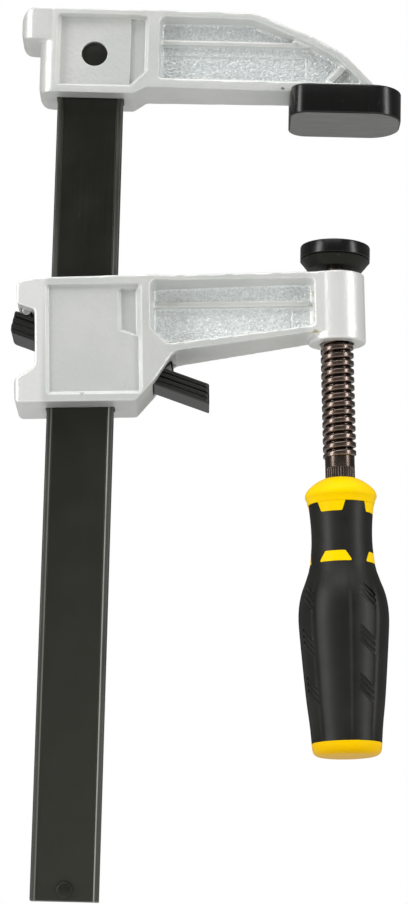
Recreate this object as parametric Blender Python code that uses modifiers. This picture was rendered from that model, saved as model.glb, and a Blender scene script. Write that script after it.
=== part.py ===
# One-handed-release F-clamp: profiled steel bar, two ribbed cast jaws, brake lever, screw spindle and grip.
# Metres, +Z up. The origin is the centre of the fixed pad's clamping face, which looks down.
# The bar stands along Z, the arms reach towards +X and the broad sides face -Y and +Y.
import math

import bmesh
import bpy
from mathutils import Matrix, Vector

# Shared clearances
GAP = 0.0003
OVERRUN = 0.004

# Bar
BAR_WIDTH = 0.0320
BAR_THICKNESS = 0.0106
BAR_REACH = 0.1249
BAR_DROP = 0.3802
BAR_TOP = 0.0455
BAR_EDGE_WIDTH = 0.0025
BAR_GROOVE_DEPTH = 0.0008
BAR_GROOVE_SLOPE = 0.0006
BAR_CORNER = 0.0012

# Stop pin near the free end of the bar
STOP_RADIUS = 0.0036
STOP_LIFT = 0.0050
STOP_PROUD = 0.0016

# Fixed jaw
HEAD_THICKNESS = 0.0290
HEAD_FLOOR = 0.0092
HEAD_LEFT_WALL = 0.0090
HEAD_RIGHT_WALL = 0.0052
HEAD_END_RADIUS = 0.0080
JAW_TOP = 0.0530
HEAD_DIP = 0.0006
LUG_REACH = 0.0093
LUG_HEIGHT = 0.0161
LUG_TOP_RADIUS = 0.0095
LUG_END_RADIUS = 0.0125
NECK_RUN = 0.0060
ARM_FLOOR = 0.0131
CREST_REACH = 0.0455
BEND_REACH = 0.0165
BEND_HEIGHT = 0.0416
BEND_RADIUS = 0.0600
SLOPE_REACH = 0.0015
SLOPE_HEIGHT = 0.0336
TIP_REACH = 0.0165
TIP_HEIGHT = 0.0150
CREST_RADIUS = 0.0120
SLOPE_RADIUS = 0.0300
CASTING_CORNER = 0.0035
CASTING_EDGE = 0.0010
ROOT_THICKNESS = 0.0268
TIP_THICKNESS = 0.0206
RIM = 0.0037
LOWER_RIM = 0.0025
WEB_THICKNESS = 0.0100
RIB_HEIGHT_SPAN = 0.0026
RIB_SINK = 0.0030
RIB_LEVEL = 0.0370
BRACE_WIDTH = 0.0030
BRACE_HEAD_REACH = 0.0003
BRACE_HEAD_HEIGHT = 0.0279
BRACE_FOOT_REACH = 0.0138
HEAD_POCKET_MARGIN = 0.0034
HEAD_POCKET_LEFT = 0.0168
HEAD_POCKET_RIGHT = 0.0285
HEAD_POCKET_SINK = 0.0040
HEAD_STRIP_SINK = 0.0064
HEAD_PANEL_RIGHT = 0.0192
HEAD_POCKET_CHAMFER = 0.0085
DIVIDER = 0.0045
POCKET_CORNER = 0.0022

# Pin that locks the bar in the fixed jaw
PIN_RADIUS = 0.0060
PIN_OFFSET = 0.0016
PIN_HEIGHT = 0.0303
PIN_SINK = 0.0016

# Slip-on pad of the fixed jaw
PAD_LENGTH = 0.0545
PAD_DEPTH = 0.0390
PAD_HEIGHT = 0.0149
PAD_WALL = 0.0030
PAD_FLOOR = 0.0030
PAD_HEEL_RADIUS = 0.0090
PAD_TOE_RADIUS = 0.0150
PAD_EDGE = 0.0008

# Sliding jaw, in its own frame: X across the bar, Z along it, origin at the middle of the channel
ROCK = math.radians(2.2)
SLIDE_DROP = 0.1150
BODY_THICKNESS = 0.0380
BODY_WALL = 0.0046
BODY_TOP = 0.0299
BODY_FLOOR = 0.0313
HORN_REACH = 0.0100
UPPER_HORN_ROOT = 0.0140
UPPER_HORN_TIP = 0.0172
LOWER_HORN_ROOT = 0.0139
LOWER_HORN_TIP = 0.0201
CHANNEL_CLEARANCE = 0.0004
CHANNEL_SIDE_CLEARANCE = 0.0006
HEEL_REACH = 0.0255
FLANK_REACH = 0.0354
FLANK_DROP = 0.0203
SHOULDER_REACH = 0.0440
SHOULDER_DROP = 0.0068
SHOULDER_RADIUS = 0.0060
ARM_TOP_END = 0.0331
ARM_FLOOR_END = 0.0044
SLIDE_ROOT_THICKNESS = 0.0328
SLIDE_TIP_THICKNESS = 0.0240
SLIDE_WEB = 0.0120
SLIDE_POCKET_START = 0.0331
POCKET_STOP = 0.0100
SLIDE_RIB_LEVEL = 0.0174
SLIDE_RIB_SPAN = 0.0044
FRAME_SINK = 0.0012
PANEL_SINK = 0.0020
PANEL_MARGIN = 0.0018
PANEL_LEFT = 0.0170
PANEL_RIGHT = 0.0290
PANEL_TOP = 0.0262
PANEL_BOTTOM = 0.0278
NOTCH_LEFT = 0.0176
NOTCH_BOTTOM = 0.0002
NOTCH_SINK = 0.0042

# Threaded boss and spindle
SPINDLE_REACH = 0.1228
BOSS_RADIUS = 0.0140
BOSS_TOP = 0.0331
BOSS_DROP = 0.0006
SPINDLE_RADIUS = 0.0080
THREAD_FOOT = 0.0566
NECK_RADIUS = 0.0071
TANG_DEPTH = 0.0400
TIP_NECK_RADIUS = 0.0040
THREAD_HEAD_LIFT = 0.0008
BALL_RADIUS = 0.0050
BALL_CENTRE = 0.0395
LINER_WALL = 0.0008
LINER_DROP = 0.0029
LINER_RISE = 0.0030

# Swivel pad, turned about its own axis, heights from the ball's centre
SWIVEL_FOOT = 0.0033
SWIVEL_FOOT_RADIUS = 0.0131
SWIVEL_BRIM_RADIUS = 0.0169
SWIVEL_CONE = 0.0050
SWIVEL_HEIGHT = 0.0118
SWIVEL_CAP_WALL = 0.0019
SWIVEL_CAP_TOP = 0.0012
SWIVEL_EDGE = 0.0006

# Brake lever, in a frame on its pivot pin: X runs down to the right along the lever
LEVER_ANGLE = math.radians(21.0)
LEVER_SWING = math.radians(5.0)
PIVOT_X = -0.0264
PIVOT_Z = 0.0154
PIVOT_RADIUS = 0.0021
PLATE_THICKNESS = 0.0050
PLATE_DEPTH = 0.0200
TONGUE_DEPTH = 0.0120
TONGUE_LENGTH = 0.0070
WINDOW_LENGTH = 0.0371
WINDOW_BIAS = 0.0004
WINDOW_CLEARANCE = 0.0006
PLATE_LEFT_END = 0.0090
PLATE_RIGHT_END = 0.0655
GRIP_DEPTH = 0.0230
LEFT_GRIP_HEIGHT = 0.0104
LEFT_GRIP_OUTSIDE = 0.0039
LEFT_GRIP_RADIUS = 0.0034
RIGHT_GRIP_HEIGHT = 0.0094
RIGHT_GRIP_DROP = 0.0005
RIGHT_GRIP_START = 0.0640
RIGHT_GRIP_END = 0.0947
GRIP_EDGE = 0.0008
GROOVE_WIDTH = 0.0010
GROOVE_DEPTH = 0.0006
GROOVE_COUNT = 3
SLOT_CLEARANCE = 0.0006

# Return spring: a bent wire between the lever and the jaw
WIRE_RADIUS = 0.0005
SPRING_RISE = 0.0062
SPRING_SPREAD = 0.0034
SPRING_FOOT_DEPTH = 0.0060
SPRING_STATION = 0.0738

# Handle, heights down from the jaw's frame along the spindle
HANDLE_TOP = 0.0672
HANDLE_LENGTH = 0.1326
COLLAR_SHARE = 0.0965
CASTELLATION = 0.0048
GRIP_WALL = 0.0024
HANDLE_BORE_CLEARANCE = 0.0003
END_CAP_SHARE = 0.0460
WINDOW_TOP_SHARE = 0.2768
WINDOW_HEIGHT = 0.0050
WINDOW_TOP_WIDTH = 0.0088
WINDOW_FOOT_WIDTH = 0.0150
TAB_FOOT_WIDTH = 0.0104
TAB_HEAD_WIDTH = 0.0166
PANEL_COUNT = 4
PANEL_PHASE = math.radians(-18.5)
BELLY_RADIUS = 0.0216

# Shares of HANDLE_LENGTH from the top, with the radius as a share of BELLY_RADIUS
COLLAR_SHARES = (
    (0, 0.36), (0.012, 0.51), (0.026, 0.645), (0.044, 0.755), (0.066, 0.822),
)
SLEEVE_SHARES = (
    (0.1, 0.722), (0.162, 0.681), (0.194, 0.671), (0.238, 0.671), (0.282, 0.694), (0.326, 0.727),
    (0.37, 0.815), (0.414, 0.921), (0.457, 0.977), (0.501, 0.998), (0.545, 0.988), (0.631, 0.949),
    (0.718, 0.907), (0.805, 0.861), (0.891, 0.796), (0.949, 0.77),
)
FOOT_SHARES = (
    (0.96, 0.766), (0.974, 0.757), (0.986, 0.735), (0.995, 0.68), (1, 0.56),
)

# Facets
CORNER_STEPS = 5
BORE_STEPS = 32
ROUND_STEPS = 40
HANDLE_STEPS = 48
BALL_STEPS = 8


def clear_scene():
    for obj in list(bpy.data.objects):
        bpy.data.objects.remove(obj, do_unlink=True)


def new_collection(name):
    collection = bpy.data.collections.new(name)
    bpy.context.scene.collection.children.link(collection)
    return collection


def material(name, colour, roughness, metallic):
    made = bpy.data.materials.new(name)
    made.use_nodes = True
    shader = made.node_tree.nodes["Principled BSDF"]
    shader.inputs["Base Color"].default_value = (*colour, 1.0)
    shader.inputs["Roughness"].default_value = roughness
    shader.inputs["Metallic"].default_value = metallic
    made.diffuse_color = (*colour, 1.0)
    return made


def mesh_object(name, bm, parent=None, location=(0, 0, 0)):
    mesh = bpy.data.meshes.new(name)
    bm.to_mesh(mesh)
    bm.free()
    obj = bpy.data.objects.new(name, mesh)
    obj.location = location
    obj.parent = parent
    return obj


def as_part(obj, looks, smooth_angle=30.0):
    parts.objects.link(obj)
    obj.data.materials.clear()
    obj.data.materials.append(looks)
    obj.data.shade_smooth()
    obj.data.set_sharp_from_angle(angle=math.radians(smooth_angle))
    return obj


def as_cutter(obj):
    cutters.objects.link(obj)
    obj.hide_render = True
    obj.display_type = "WIRE"
    return obj


def combine(obj, other, operation):
    modifier = obj.modifiers.new(other.name, "BOOLEAN")
    modifier.operation = operation
    modifier.object = other
    modifier.solver = "EXACT"


def bevel(obj, width, segments=2, angle=35.0):
    modifier = obj.modifiers.new("rounded edges", "BEVEL")
    modifier.width = width
    modifier.segments = segments
    modifier.limit_method = "ANGLE"
    modifier.angle_limit = math.radians(angle)
    modifier.use_clamp_overlap = True


def empty(name, location, rotation=(0, 0, 0), parent=None):
    made = bpy.data.objects.new(name, None)
    made.location = location
    made.rotation_euler = rotation
    made.parent = parent
    parts.objects.link(made)
    return made


def turn_sense(corners):
    """Positive where the outline runs anticlockwise."""
    area = 0.0
    for (ax, az, _), (bx, bz, _) in zip(corners, corners[1:] + corners[:1]):
        area += ax * bz - bx * az
    return math.copysign(1.0, area)


def rounded(corners, steps=CORNER_STEPS):
    """Points of a closed outline whose corners, each (across, along, radius), are filleted."""
    points = []
    count = len(corners)
    for index, (x, z, radius) in enumerate(corners):
        here = Vector((x, z))
        before = Vector(corners[index - 1][:2]) - here
        after = Vector(corners[(index + 1) % count][:2]) - here
        if radius <= 0:
            points.append(here)
            continue
        opening = before.angle(after)
        half = opening / 2
        setback = radius / math.tan(half)
        limit = 0.48 * min(before.length, after.length)
        if setback > limit:
            setback = limit
            radius = setback * math.tan(half)
        start = here + before.normalized() * setback
        end = here + after.normalized() * setback
        middle = here + (before.normalized() + after.normalized()).normalized() * radius / math.sin(half)
        first = start - middle
        sweep = first.angle_signed(end - middle)
        for step in range(steps + 1):
            turned = first.copy()
            turned.rotate(Matrix.Rotation(-sweep * step / steps, 2))
            points.append(middle + turned)
    return points


def inset(corners, distance):
    """The same outline with each edge moved inwards; fillets stay concentric."""
    sense = turn_sense(corners)
    count = len(corners)
    moved = []
    for index, (x, z, radius) in enumerate(corners):
        here = Vector((x, z))
        along = (here - Vector(corners[index - 1][:2])).normalized()
        onward = (Vector(corners[(index + 1) % count][:2]) - here).normalized()
        normal = Vector((-along.y, along.x)) * sense
        next_normal = Vector((-onward.y, onward.x)) * sense
        bisector = (normal + next_normal).normalized()
        shift = bisector * distance / max(bisector.dot(normal), 0.2)
        convex = sense * (along.x * onward.y - along.y * onward.x) > 0
        turned = radius - distance if convex else radius + distance
        moved.append((x + shift.x, z + shift.y, max(turned, distance * 0.4)))
    return moved


def slab(name, outlines, depth, middle=0.0, plan=False, parent=None):
    """A flat outline extruded to both sides: across Y from the front, or along Z where plan is set."""
    curve = bpy.data.curves.new(name, "CURVE")
    curve.dimensions = "2D"
    curve.fill_mode = "BOTH"
    curve.extrude = depth / 2
    for outline in outlines:
        spline = curve.splines.new("POLY")
        spline.points.add(len(outline) - 1)
        for point, (x, z) in zip(spline.points, outline):
            point.co = (x, z, 0, 1)
        spline.use_cyclic_u = True
    drawn = bpy.data.objects.new(name, curve)
    parts.objects.link(drawn)
    graph = bpy.context.evaluated_depsgraph_get()
    mesh = bpy.data.meshes.new_from_object(drawn.evaluated_get(graph))
    bpy.data.objects.remove(drawn, do_unlink=True)
    bpy.data.curves.remove(curve)
    bm = bmesh.new()
    bm.from_mesh(mesh)
    bpy.data.meshes.remove(mesh)
    bmesh.ops.remove_doubles(bm, verts=bm.verts, dist=GAP / 100)
    if not plan:
        bmesh.ops.rotate(bm, verts=bm.verts, matrix=Matrix.Rotation(math.pi / 2, 3, "X"))
    bmesh.ops.translate(bm, verts=bm.verts, vec=(0, 0, middle) if plan else (0, middle, 0))
    bmesh.ops.recalc_face_normals(bm, faces=bm.faces)
    return mesh_object(name, bm, parent)


def box(name, low, high, parent=None):
    bm = bmesh.new()
    bmesh.ops.create_cube(bm, size=1.0)
    size = Vector(high) - Vector(low)
    bmesh.ops.scale(bm, verts=bm.verts, vec=size)
    bmesh.ops.translate(bm, verts=bm.verts, vec=Vector(low) + size / 2)
    return mesh_object(name, bm, parent)


def rod(name, radius, length, centre, axis="Z", steps=BORE_STEPS, parent=None):
    bm = bmesh.new()
    bmesh.ops.create_cone(bm, cap_ends=True, segments=steps, radius1=radius, radius2=radius, depth=length)
    if axis == "Y":
        bmesh.ops.rotate(bm, verts=bm.verts, matrix=Matrix.Rotation(math.pi / 2, 3, "X"))
    bmesh.ops.translate(bm, verts=bm.verts, vec=centre)
    return mesh_object(name, bm, parent)


def turned(name, profile, steps, parent=None, location=(0, 0, 0), closed=False):
    """A profile of (radius, height) points revolved about Z; it runs down its outer side."""
    bm = bmesh.new()
    verts = [bm.verts.new((radius, 0, height)) for radius, height in profile]
    for a, b in zip(verts, verts[1:]):
        bm.edges.new((a, b))
    if closed:
        bm.edges.new((verts[-1], verts[0]))
    obj = mesh_object(name, bm, parent, location)
    screw = obj.modifiers.new("turned", "SCREW")
    screw.steps = steps
    screw.render_steps = steps
    screw.use_merge_vertices = True
    screw.merge_threshold = GAP / 100
    screw.use_smooth_shade = True
    return obj


def arc(radius, low, high, steps, rising=False):
    """Points on a circle about the axis between two heights."""
    start, end = math.asin(high / radius), math.asin(low / radius)
    angles = [start + (end - start) * step / steps for step in range(steps + 1)]
    points = [(radius * math.cos(angle), radius * math.sin(angle)) for angle in angles]
    return points[::-1] if rising else points


def make_bar():
    half, thick = BAR_WIDTH / 2, BAR_THICKNESS / 2
    inner = half - BAR_EDGE_WIDTH
    groove = thick - BAR_GROOVE_DEPTH
    floor_start = inner - BAR_GROOVE_SLOPE
    section = []
    for side in (1, -1):
        section += [
            (side * half, -side * thick, BAR_CORNER), (side * half, side * thick, BAR_CORNER),
            (side * inner, side * thick, 0), (side * floor_start, side * groove, 0),
            (-side * floor_start, side * groove, 0), (-side * inner, side * thick, 0),
        ]
    top, foot = BAR_TOP, -BAR_DROP
    bar = slab("bar_rail", [rounded(section, 3)], top - foot, (top + foot) / 2, plan=True)
    bar.location.x = -BAR_REACH
    holes = (
        (PIN_RADIUS + GAP, PIN_OFFSET, PIN_HEIGHT),
        (STOP_RADIUS + GAP, 0, STOP_LIFT - BAR_DROP),
    )
    for index, (radius, across, height) in enumerate(holes):
        centre = (across - BAR_REACH, 0, height)
        hole = as_cutter(rod(f"bar_hole_{index}", radius, BAR_THICKNESS + OVERRUN, centre, "Y"))
        combine(bar, hole, "DIFFERENCE")
    as_part(bar, blackened_steel)
    stop = rod("end_stop", STOP_RADIUS, BAR_THICKNESS + 2 * STOP_PROUD, (0, 0, 0), "Y")
    stop.location = (-BAR_REACH, 0, STOP_LIFT - BAR_DROP)
    bevel(stop, STOP_PROUD / 3)
    as_part(stop, blackened_steel)


def fixed_jaw_outline():
    left = -BAR_REACH - BAR_WIDTH / 2 - HEAD_LEFT_WALL
    neck = -BAR_REACH + BAR_WIDTH / 2 + HEAD_RIGHT_WALL
    return [
        (left, JAW_TOP - HEAD_DIP, CASTING_CORNER), (neck, JAW_TOP - HEAD_DIP, 0),
        (neck + NECK_RUN, JAW_TOP, 0), (-CREST_REACH, JAW_TOP, CREST_RADIUS),
        (-BEND_REACH, BEND_HEIGHT, BEND_RADIUS), (-SLOPE_REACH, SLOPE_HEIGHT, SLOPE_RADIUS),
        (TIP_REACH, TIP_HEIGHT, CASTING_EDGE),
        (TIP_REACH, ARM_FLOOR, 0), (neck + NECK_RUN, ARM_FLOOR, CASTING_CORNER),
        (neck, HEAD_FLOOR, CASTING_CORNER), (left, HEAD_FLOOR, CASTING_CORNER),
    ]


def fixed_jaw_plan(left):
    neck = -BAR_REACH + BAR_WIDTH / 2 + HEAD_RIGHT_WALL
    half, root, tip = HEAD_THICKNESS / 2, ROOT_THICKNESS / 2, TIP_THICKNESS / 2
    end = TIP_REACH + OVERRUN
    return [
        (left, -half, HEAD_END_RADIUS), (neck, -half, CASTING_CORNER), (neck + NECK_RUN, -root, CASTING_CORNER),
        (TIP_REACH, -tip, 0), (end, -tip, 0), (end, tip, 0), (TIP_REACH, tip, 0),
        (neck + NECK_RUN, root, CASTING_CORNER), (neck, half, CASTING_CORNER), (left, half, HEAD_END_RADIUS),
    ]


def pad_plan(margin):
    half, deep = PAD_LENGTH / 2 - margin, PAD_DEPTH / 2 - margin
    heel, toe = PAD_HEEL_RADIUS - margin, PAD_TOE_RADIUS - margin
    return [(-half, -deep, heel), (half, -deep, toe), (half, deep, toe), (-half, deep, heel)]


def lug_solid():
    left = -BAR_REACH - BAR_WIDTH / 2 - HEAD_LEFT_WALL
    tip, root = left - LUG_REACH, left + HEAD_LEFT_WALL / 2
    top = JAW_TOP - HEAD_DIP
    foot = top - LUG_HEIGHT
    half = HEAD_THICKNESS / 2
    front = [(tip, top, LUG_TOP_RADIUS), (root, top, 0), (root, foot, 0), (tip, foot, CASTING_CORNER)]
    plan = [(tip, -half, LUG_END_RADIUS), (root, -half, 0), (root, half, 0), (tip, half, LUG_END_RADIUS)]
    lug = as_cutter(slab("lug", [rounded(front)], HEAD_THICKNESS))
    height = JAW_TOP + OVERRUN
    limit = as_cutter(slab("lug_plan", [rounded(plan)], height, height / 2, plan=True))
    combine(lug, limit, "INTERSECT")
    return lug


def add_ribs(cutter, ribs):
    for rib in ribs:
        combine(cutter, as_cutter(rib), "DIFFERENCE")


def fixed_arm_pocket(side):
    """The arm's pocket on one broad side: floor on the web, a long rib and a slanting brace left standing."""
    name = "front" if side < 0 else "back"
    start = -BAR_REACH + HEAD_POCKET_RIGHT + DIVIDER
    depth = HEAD_THICKNESS
    middle = side * (WEB_THICKNESS / 2 + depth / 2)
    sill = ARM_FLOOR - RIM + LOWER_RIM
    arm = [
        (start - RIM, sill, CASTING_CORNER), (TIP_REACH, sill, 0), (-SLOPE_REACH, SLOPE_HEIGHT, SLOPE_RADIUS),
        (-BEND_REACH, BEND_HEIGHT, BEND_RADIUS), (-CREST_REACH, JAW_TOP, CREST_RADIUS),
        (start - RIM, JAW_TOP, CASTING_CORNER),
    ]
    pocket = as_cutter(slab(f"arm_pocket_{name}", [rounded(inset(arm, RIM))], depth, middle))
    rib_depth = ROOT_THICKNESS / 2 - RIB_SINK
    near, far = sorted((0, side * rib_depth))
    half_rib = RIB_HEIGHT_SPAN / 2
    rib = box(f"long_rib_{name}", (start - DIVIDER, near, RIB_LEVEL - half_rib), (0, far, RIB_LEVEL + half_rib))
    slant = Vector((BRACE_FOOT_REACH - BRACE_HEAD_REACH, BRACE_HEAD_HEIGHT - ARM_FLOOR))
    across = Vector((slant.y, -slant.x)).normalized() * BRACE_WIDTH / 2
    head = Vector((-BRACE_HEAD_REACH, BRACE_HEAD_HEIGHT))
    foot = Vector((-BRACE_FOOT_REACH, ARM_FLOOR))
    brace_outline = [head + across, head - across, foot - across, foot + across]
    brace_depth = TIP_THICKNESS / 2
    brace = slab(f"brace_{name}", [brace_outline], brace_depth, side * brace_depth / 2)
    add_ribs(pocket, (rib, brace))
    return pocket


def fixed_head_pockets(side):
    """The machined panel over the bar and the deeper strip beside it."""
    name = "front" if side < 0 else "back"
    left, right = -BAR_REACH - HEAD_POCKET_LEFT, -BAR_REACH + HEAD_POCKET_RIGHT
    low, high = HEAD_FLOOR + HEAD_POCKET_MARGIN, JAW_TOP - HEAD_DIP - HEAD_POCKET_MARGIN
    panel_right = -BAR_REACH + HEAD_PANEL_RIGHT
    outline = [
        (left, low, POCKET_CORNER), (right - HEAD_POCKET_CHAMFER, low, POCKET_CORNER),
        (right, low + HEAD_POCKET_CHAMFER, POCKET_CORNER), (right, high, POCKET_CORNER),
        (left, high, POCKET_CORNER),
    ]
    face = side * HEAD_THICKNESS / 2
    panel = slab(f"head_panel_{name}", [rounded(outline)], 2 * HEAD_POCKET_SINK, face)
    margin = PANEL_MARGIN / 2
    strip_outline = [
        (panel_right, low + margin, 0), (right - HEAD_POCKET_CHAMFER, low + margin, POCKET_CORNER),
        (right - margin, low + HEAD_POCKET_CHAMFER, POCKET_CORNER), (right - margin, high - margin, POCKET_CORNER),
        (panel_right, high - margin, 0),
    ]
    strip = slab(f"head_strip_{name}", [rounded(strip_outline)], 2 * HEAD_STRIP_SINK, face)
    return as_cutter(panel), as_cutter(strip)


def make_fixed_jaw():
    outline = fixed_jaw_outline()
    left = outline[0][0]
    jaw = slab("fixed_jaw", [rounded(outline)], HEAD_THICKNESS)
    height = JAW_TOP + OVERRUN
    limit = as_cutter(slab("jaw_plan", [rounded(fixed_jaw_plan(left))], height, height / 2, plan=True))
    combine(jaw, limit, "INTERSECT")
    combine(jaw, lug_solid(), "UNION")
    bevel(jaw, CASTING_EDGE)
    foot_floor = PAD_FLOOR + GAP
    foot_top = ARM_FLOOR + RIM / 2
    foot = slab(
        "pad_foot", [rounded(pad_plan(PAD_WALL + GAP))], foot_top - foot_floor, (foot_top + foot_floor) / 2, plan=True
    )
    step = PAD_LENGTH
    trim = [
        (-step, foot_floor, 0), (step, foot_floor, 0), (step, ARM_FLOOR - GAP, 0),
        (TIP_REACH - GAP, ARM_FLOOR - GAP, 0), (-step, ARM_FLOOR - GAP, 0),
    ]
    trim_solid = as_cutter(slab("foot_trim", [rounded(trim)], PAD_DEPTH + OVERRUN))
    combine(as_cutter(foot), trim_solid, "INTERSECT")
    saddle_low = (-TIP_REACH, -TIP_THICKNESS / 3, ARM_FLOOR - RIM / 2)
    saddle_high = (TIP_REACH - RIM, TIP_THICKNESS / 3, ARM_FLOOR + RIM / 2)
    combine(jaw, foot, "UNION")
    combine(jaw, as_cutter(box("foot_saddle", saddle_low, saddle_high)), "UNION")
    for side in (-1, 1):
        combine(jaw, fixed_arm_pocket(side), "DIFFERENCE")
        for pocket in fixed_head_pockets(side):
            combine(jaw, pocket, "DIFFERENCE")
    half = BAR_WIDTH / 2 + GAP
    deep = BAR_THICKNESS / 2 + GAP
    socket = box("bar_socket", (-BAR_REACH - half, -deep, -OVERRUN), (-BAR_REACH + half, deep, BAR_TOP + GAP))
    bore_centre = (PIN_OFFSET - BAR_REACH, 0, PIN_HEIGHT)
    bore = rod("pin_bore", PIN_RADIUS + GAP, HEAD_THICKNESS + OVERRUN, bore_centre, "Y")
    combine(jaw, as_cutter(socket), "DIFFERENCE")
    combine(jaw, as_cutter(bore), "DIFFERENCE")
    as_part(jaw, cast_silver)
    pin_length = HEAD_THICKNESS - 2 * HEAD_POCKET_SINK - 2 * PIN_SINK
    pin = rod("jaw_pin", PIN_RADIUS, pin_length, (0, 0, 0), "Y")
    pin.location = bore_centre
    bevel(pin, PIN_SINK / 4)
    as_part(pin, blackened_steel)


def make_fixed_pad():
    pad = slab("fixed_pad", [rounded(pad_plan(0))], PAD_HEIGHT, PAD_HEIGHT / 2, plan=True)
    bevel(pad, PAD_EDGE)
    hollow_height = PAD_HEIGHT
    hollow = slab(
        "pad_hollow", [rounded(pad_plan(PAD_WALL))], hollow_height, PAD_FLOOR + hollow_height / 2, plan=True
    )
    combine(pad, as_cutter(hollow), "DIFFERENCE")
    half = ROOT_THICKNESS / 2
    notch_low = (-PAD_LENGTH / 2 - OVERRUN, -half, ARM_FLOOR - GAP)
    notch_high = (-PAD_LENGTH / 2 + PAD_WALL + PAD_HEEL_RADIUS, half, PAD_HEIGHT + OVERRUN)
    combine(pad, as_cutter(box("pad_notch", notch_low, notch_high)), "DIFFERENCE")
    as_part(pad, glossy_black)


def sliding_jaw_outline():
    left = -BAR_WIDTH / 2 - CHANNEL_CLEARANCE - BODY_WALL - math.tan(ROCK) * BODY_FLOOR
    horn = left - HORN_REACH
    rise = (ARM_TOP_END - BODY_TOP) / 4
    return [
        (horn + HORN_REACH / 8, BODY_TOP - 2 * CASTING_EDGE, CASTING_CORNER), (left, BODY_TOP, CASTING_CORNER * 2),
        (SLIDE_POCKET_START, BODY_TOP + rise, 0), (SPINDLE_REACH, ARM_TOP_END, 0),
        (SPINDLE_REACH, ARM_FLOOR_END, 0), (SHOULDER_REACH, -SHOULDER_DROP, SHOULDER_RADIUS),
        (FLANK_REACH, -FLANK_DROP, SHOULDER_RADIUS * 3), (HEEL_REACH, -BODY_FLOOR, CASTING_CORNER / 2),
        (horn + CASTING_EDGE / 2, -BODY_FLOOR, CASTING_CORNER), (horn, -LOWER_HORN_TIP, CASTING_CORNER / 2),
        (left, -LOWER_HORN_ROOT, CASTING_CORNER), (left, UPPER_HORN_ROOT, CASTING_EDGE),
        (horn + HORN_REACH / 6, UPPER_HORN_TIP, CASTING_EDGE),
    ]


def sliding_jaw_plan():
    left = min(point[0] for point in sliding_jaw_outline())
    half, root, tip = BODY_THICKNESS / 2, SLIDE_ROOT_THICKNESS / 2, SLIDE_TIP_THICKNESS / 2
    reach = SPINDLE_REACH + OVERRUN
    return [
        (left, -half, CASTING_CORNER), (SLIDE_POCKET_START, -half, CASTING_CORNER),
        (SHOULDER_REACH, -root, CASTING_CORNER), (reach, -tip, 0), (reach, tip, 0),
        (SHOULDER_REACH, root, CASTING_CORNER), (SLIDE_POCKET_START, half, CASTING_CORNER),
        (left, half, CASTING_CORNER),
    ]


def sliding_arm_pocket(side):
    name = "front" if side < 0 else "back"
    depth = BODY_THICKNESS
    middle = side * (SLIDE_WEB / 2 + depth / 2)
    start, stop = SLIDE_POCKET_START, SPINDLE_REACH - POCKET_STOP
    sill_start = RIM - SHOULDER_DROP
    sill_stop = ARM_FLOOR_END + LOWER_RIM / 2
    outline = [
        (start, sill_start + 2 * RIM, POCKET_CORNER), (start + 2 * RIM, sill_start, POCKET_CORNER * 2),
        (stop, sill_stop, CASTING_EDGE), (stop, ARM_TOP_END - RIM, CASTING_EDGE),
        (start, BODY_TOP - LOWER_RIM, POCKET_CORNER),
    ]
    pocket = as_cutter(slab(f"slide_pocket_{name}", [rounded(outline)], depth, middle, parent=jaw_frame))
    near, far = sorted((0, side * (SLIDE_TIP_THICKNESS / 2 - RIB_SINK / 2)))
    half_rib = SLIDE_RIB_SPAN / 2
    rib = box(
        f"slide_rib_{name}", (0, near, SLIDE_RIB_LEVEL - half_rib),
        (SPINDLE_REACH, far, SLIDE_RIB_LEVEL + half_rib), jaw_frame,
    )
    add_ribs(pocket, (rib,))
    return pocket


def sliding_body_pockets(side):
    """The framed panel over the channel and the small deeper notch in its upper corner."""
    name = "front" if side < 0 else "back"
    face = side * BODY_THICKNESS / 2
    frame = [
        (-PANEL_LEFT, -PANEL_BOTTOM, CASTING_EDGE), (PANEL_RIGHT, -PANEL_BOTTOM, CASTING_EDGE),
        (PANEL_RIGHT, PANEL_TOP, CASTING_EDGE), (-PANEL_LEFT, PANEL_TOP, CASTING_EDGE),
    ]
    cuts = [slab(f"slide_frame_{name}", [rounded(frame)], 2 * FRAME_SINK, face, parent=jaw_frame)]
    inner = inset(frame, PANEL_MARGIN)
    cuts.append(slab(f"slide_panel_{name}", [rounded(inner)], 2 * PANEL_SINK, face, parent=jaw_frame))
    right, top = PANEL_RIGHT - PANEL_MARGIN, PANEL_TOP - PANEL_MARGIN
    notch = [
        (NOTCH_LEFT, NOTCH_BOTTOM + BODY_WALL, CASTING_EDGE), (right, NOTCH_BOTTOM, CASTING_EDGE),
        (right, top, CASTING_EDGE), (NOTCH_LEFT, top, CASTING_EDGE),
    ]
    cuts.append(slab(f"slide_notch_{name}", [rounded(notch)], 2 * NOTCH_SINK, face, parent=jaw_frame))
    return [as_cutter(cut) for cut in cuts]


def lever_slot():
    """The hollow that the lever lies and swings in, drawn in the lever's frame."""
    deep = GRIP_DEPTH + 2 * SLOT_CLEARANCE
    left_low = -LEVER_OFFSET - LEFT_GRIP_HEIGHT / 2 - 2 * SLOT_CLEARANCE
    left_high = -LEVER_OFFSET + LEFT_GRIP_HEIGHT / 2 + SLOT_CLEARANCE
    right = RIGHT_GRIP_END + SPRING_SPREAD
    right_low = -LEVER_OFFSET - RIGHT_GRIP_DROP - RIGHT_GRIP_HEIGHT / 2 - SLOT_CLEARANCE
    right_high = left_high + right * math.sin(LEVER_SWING)
    left = -HORN_REACH - LEFT_GRIP_OUTSIDE
    outline = [
        (left, left_low, 0), (right, right_low, 0), (right, right_high, 0), (0, left_high, 0), (left, left_high, 0),
    ]
    return as_cutter(slab("lever_slot", [rounded(outline)], deep, parent=lever_frame))


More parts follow.
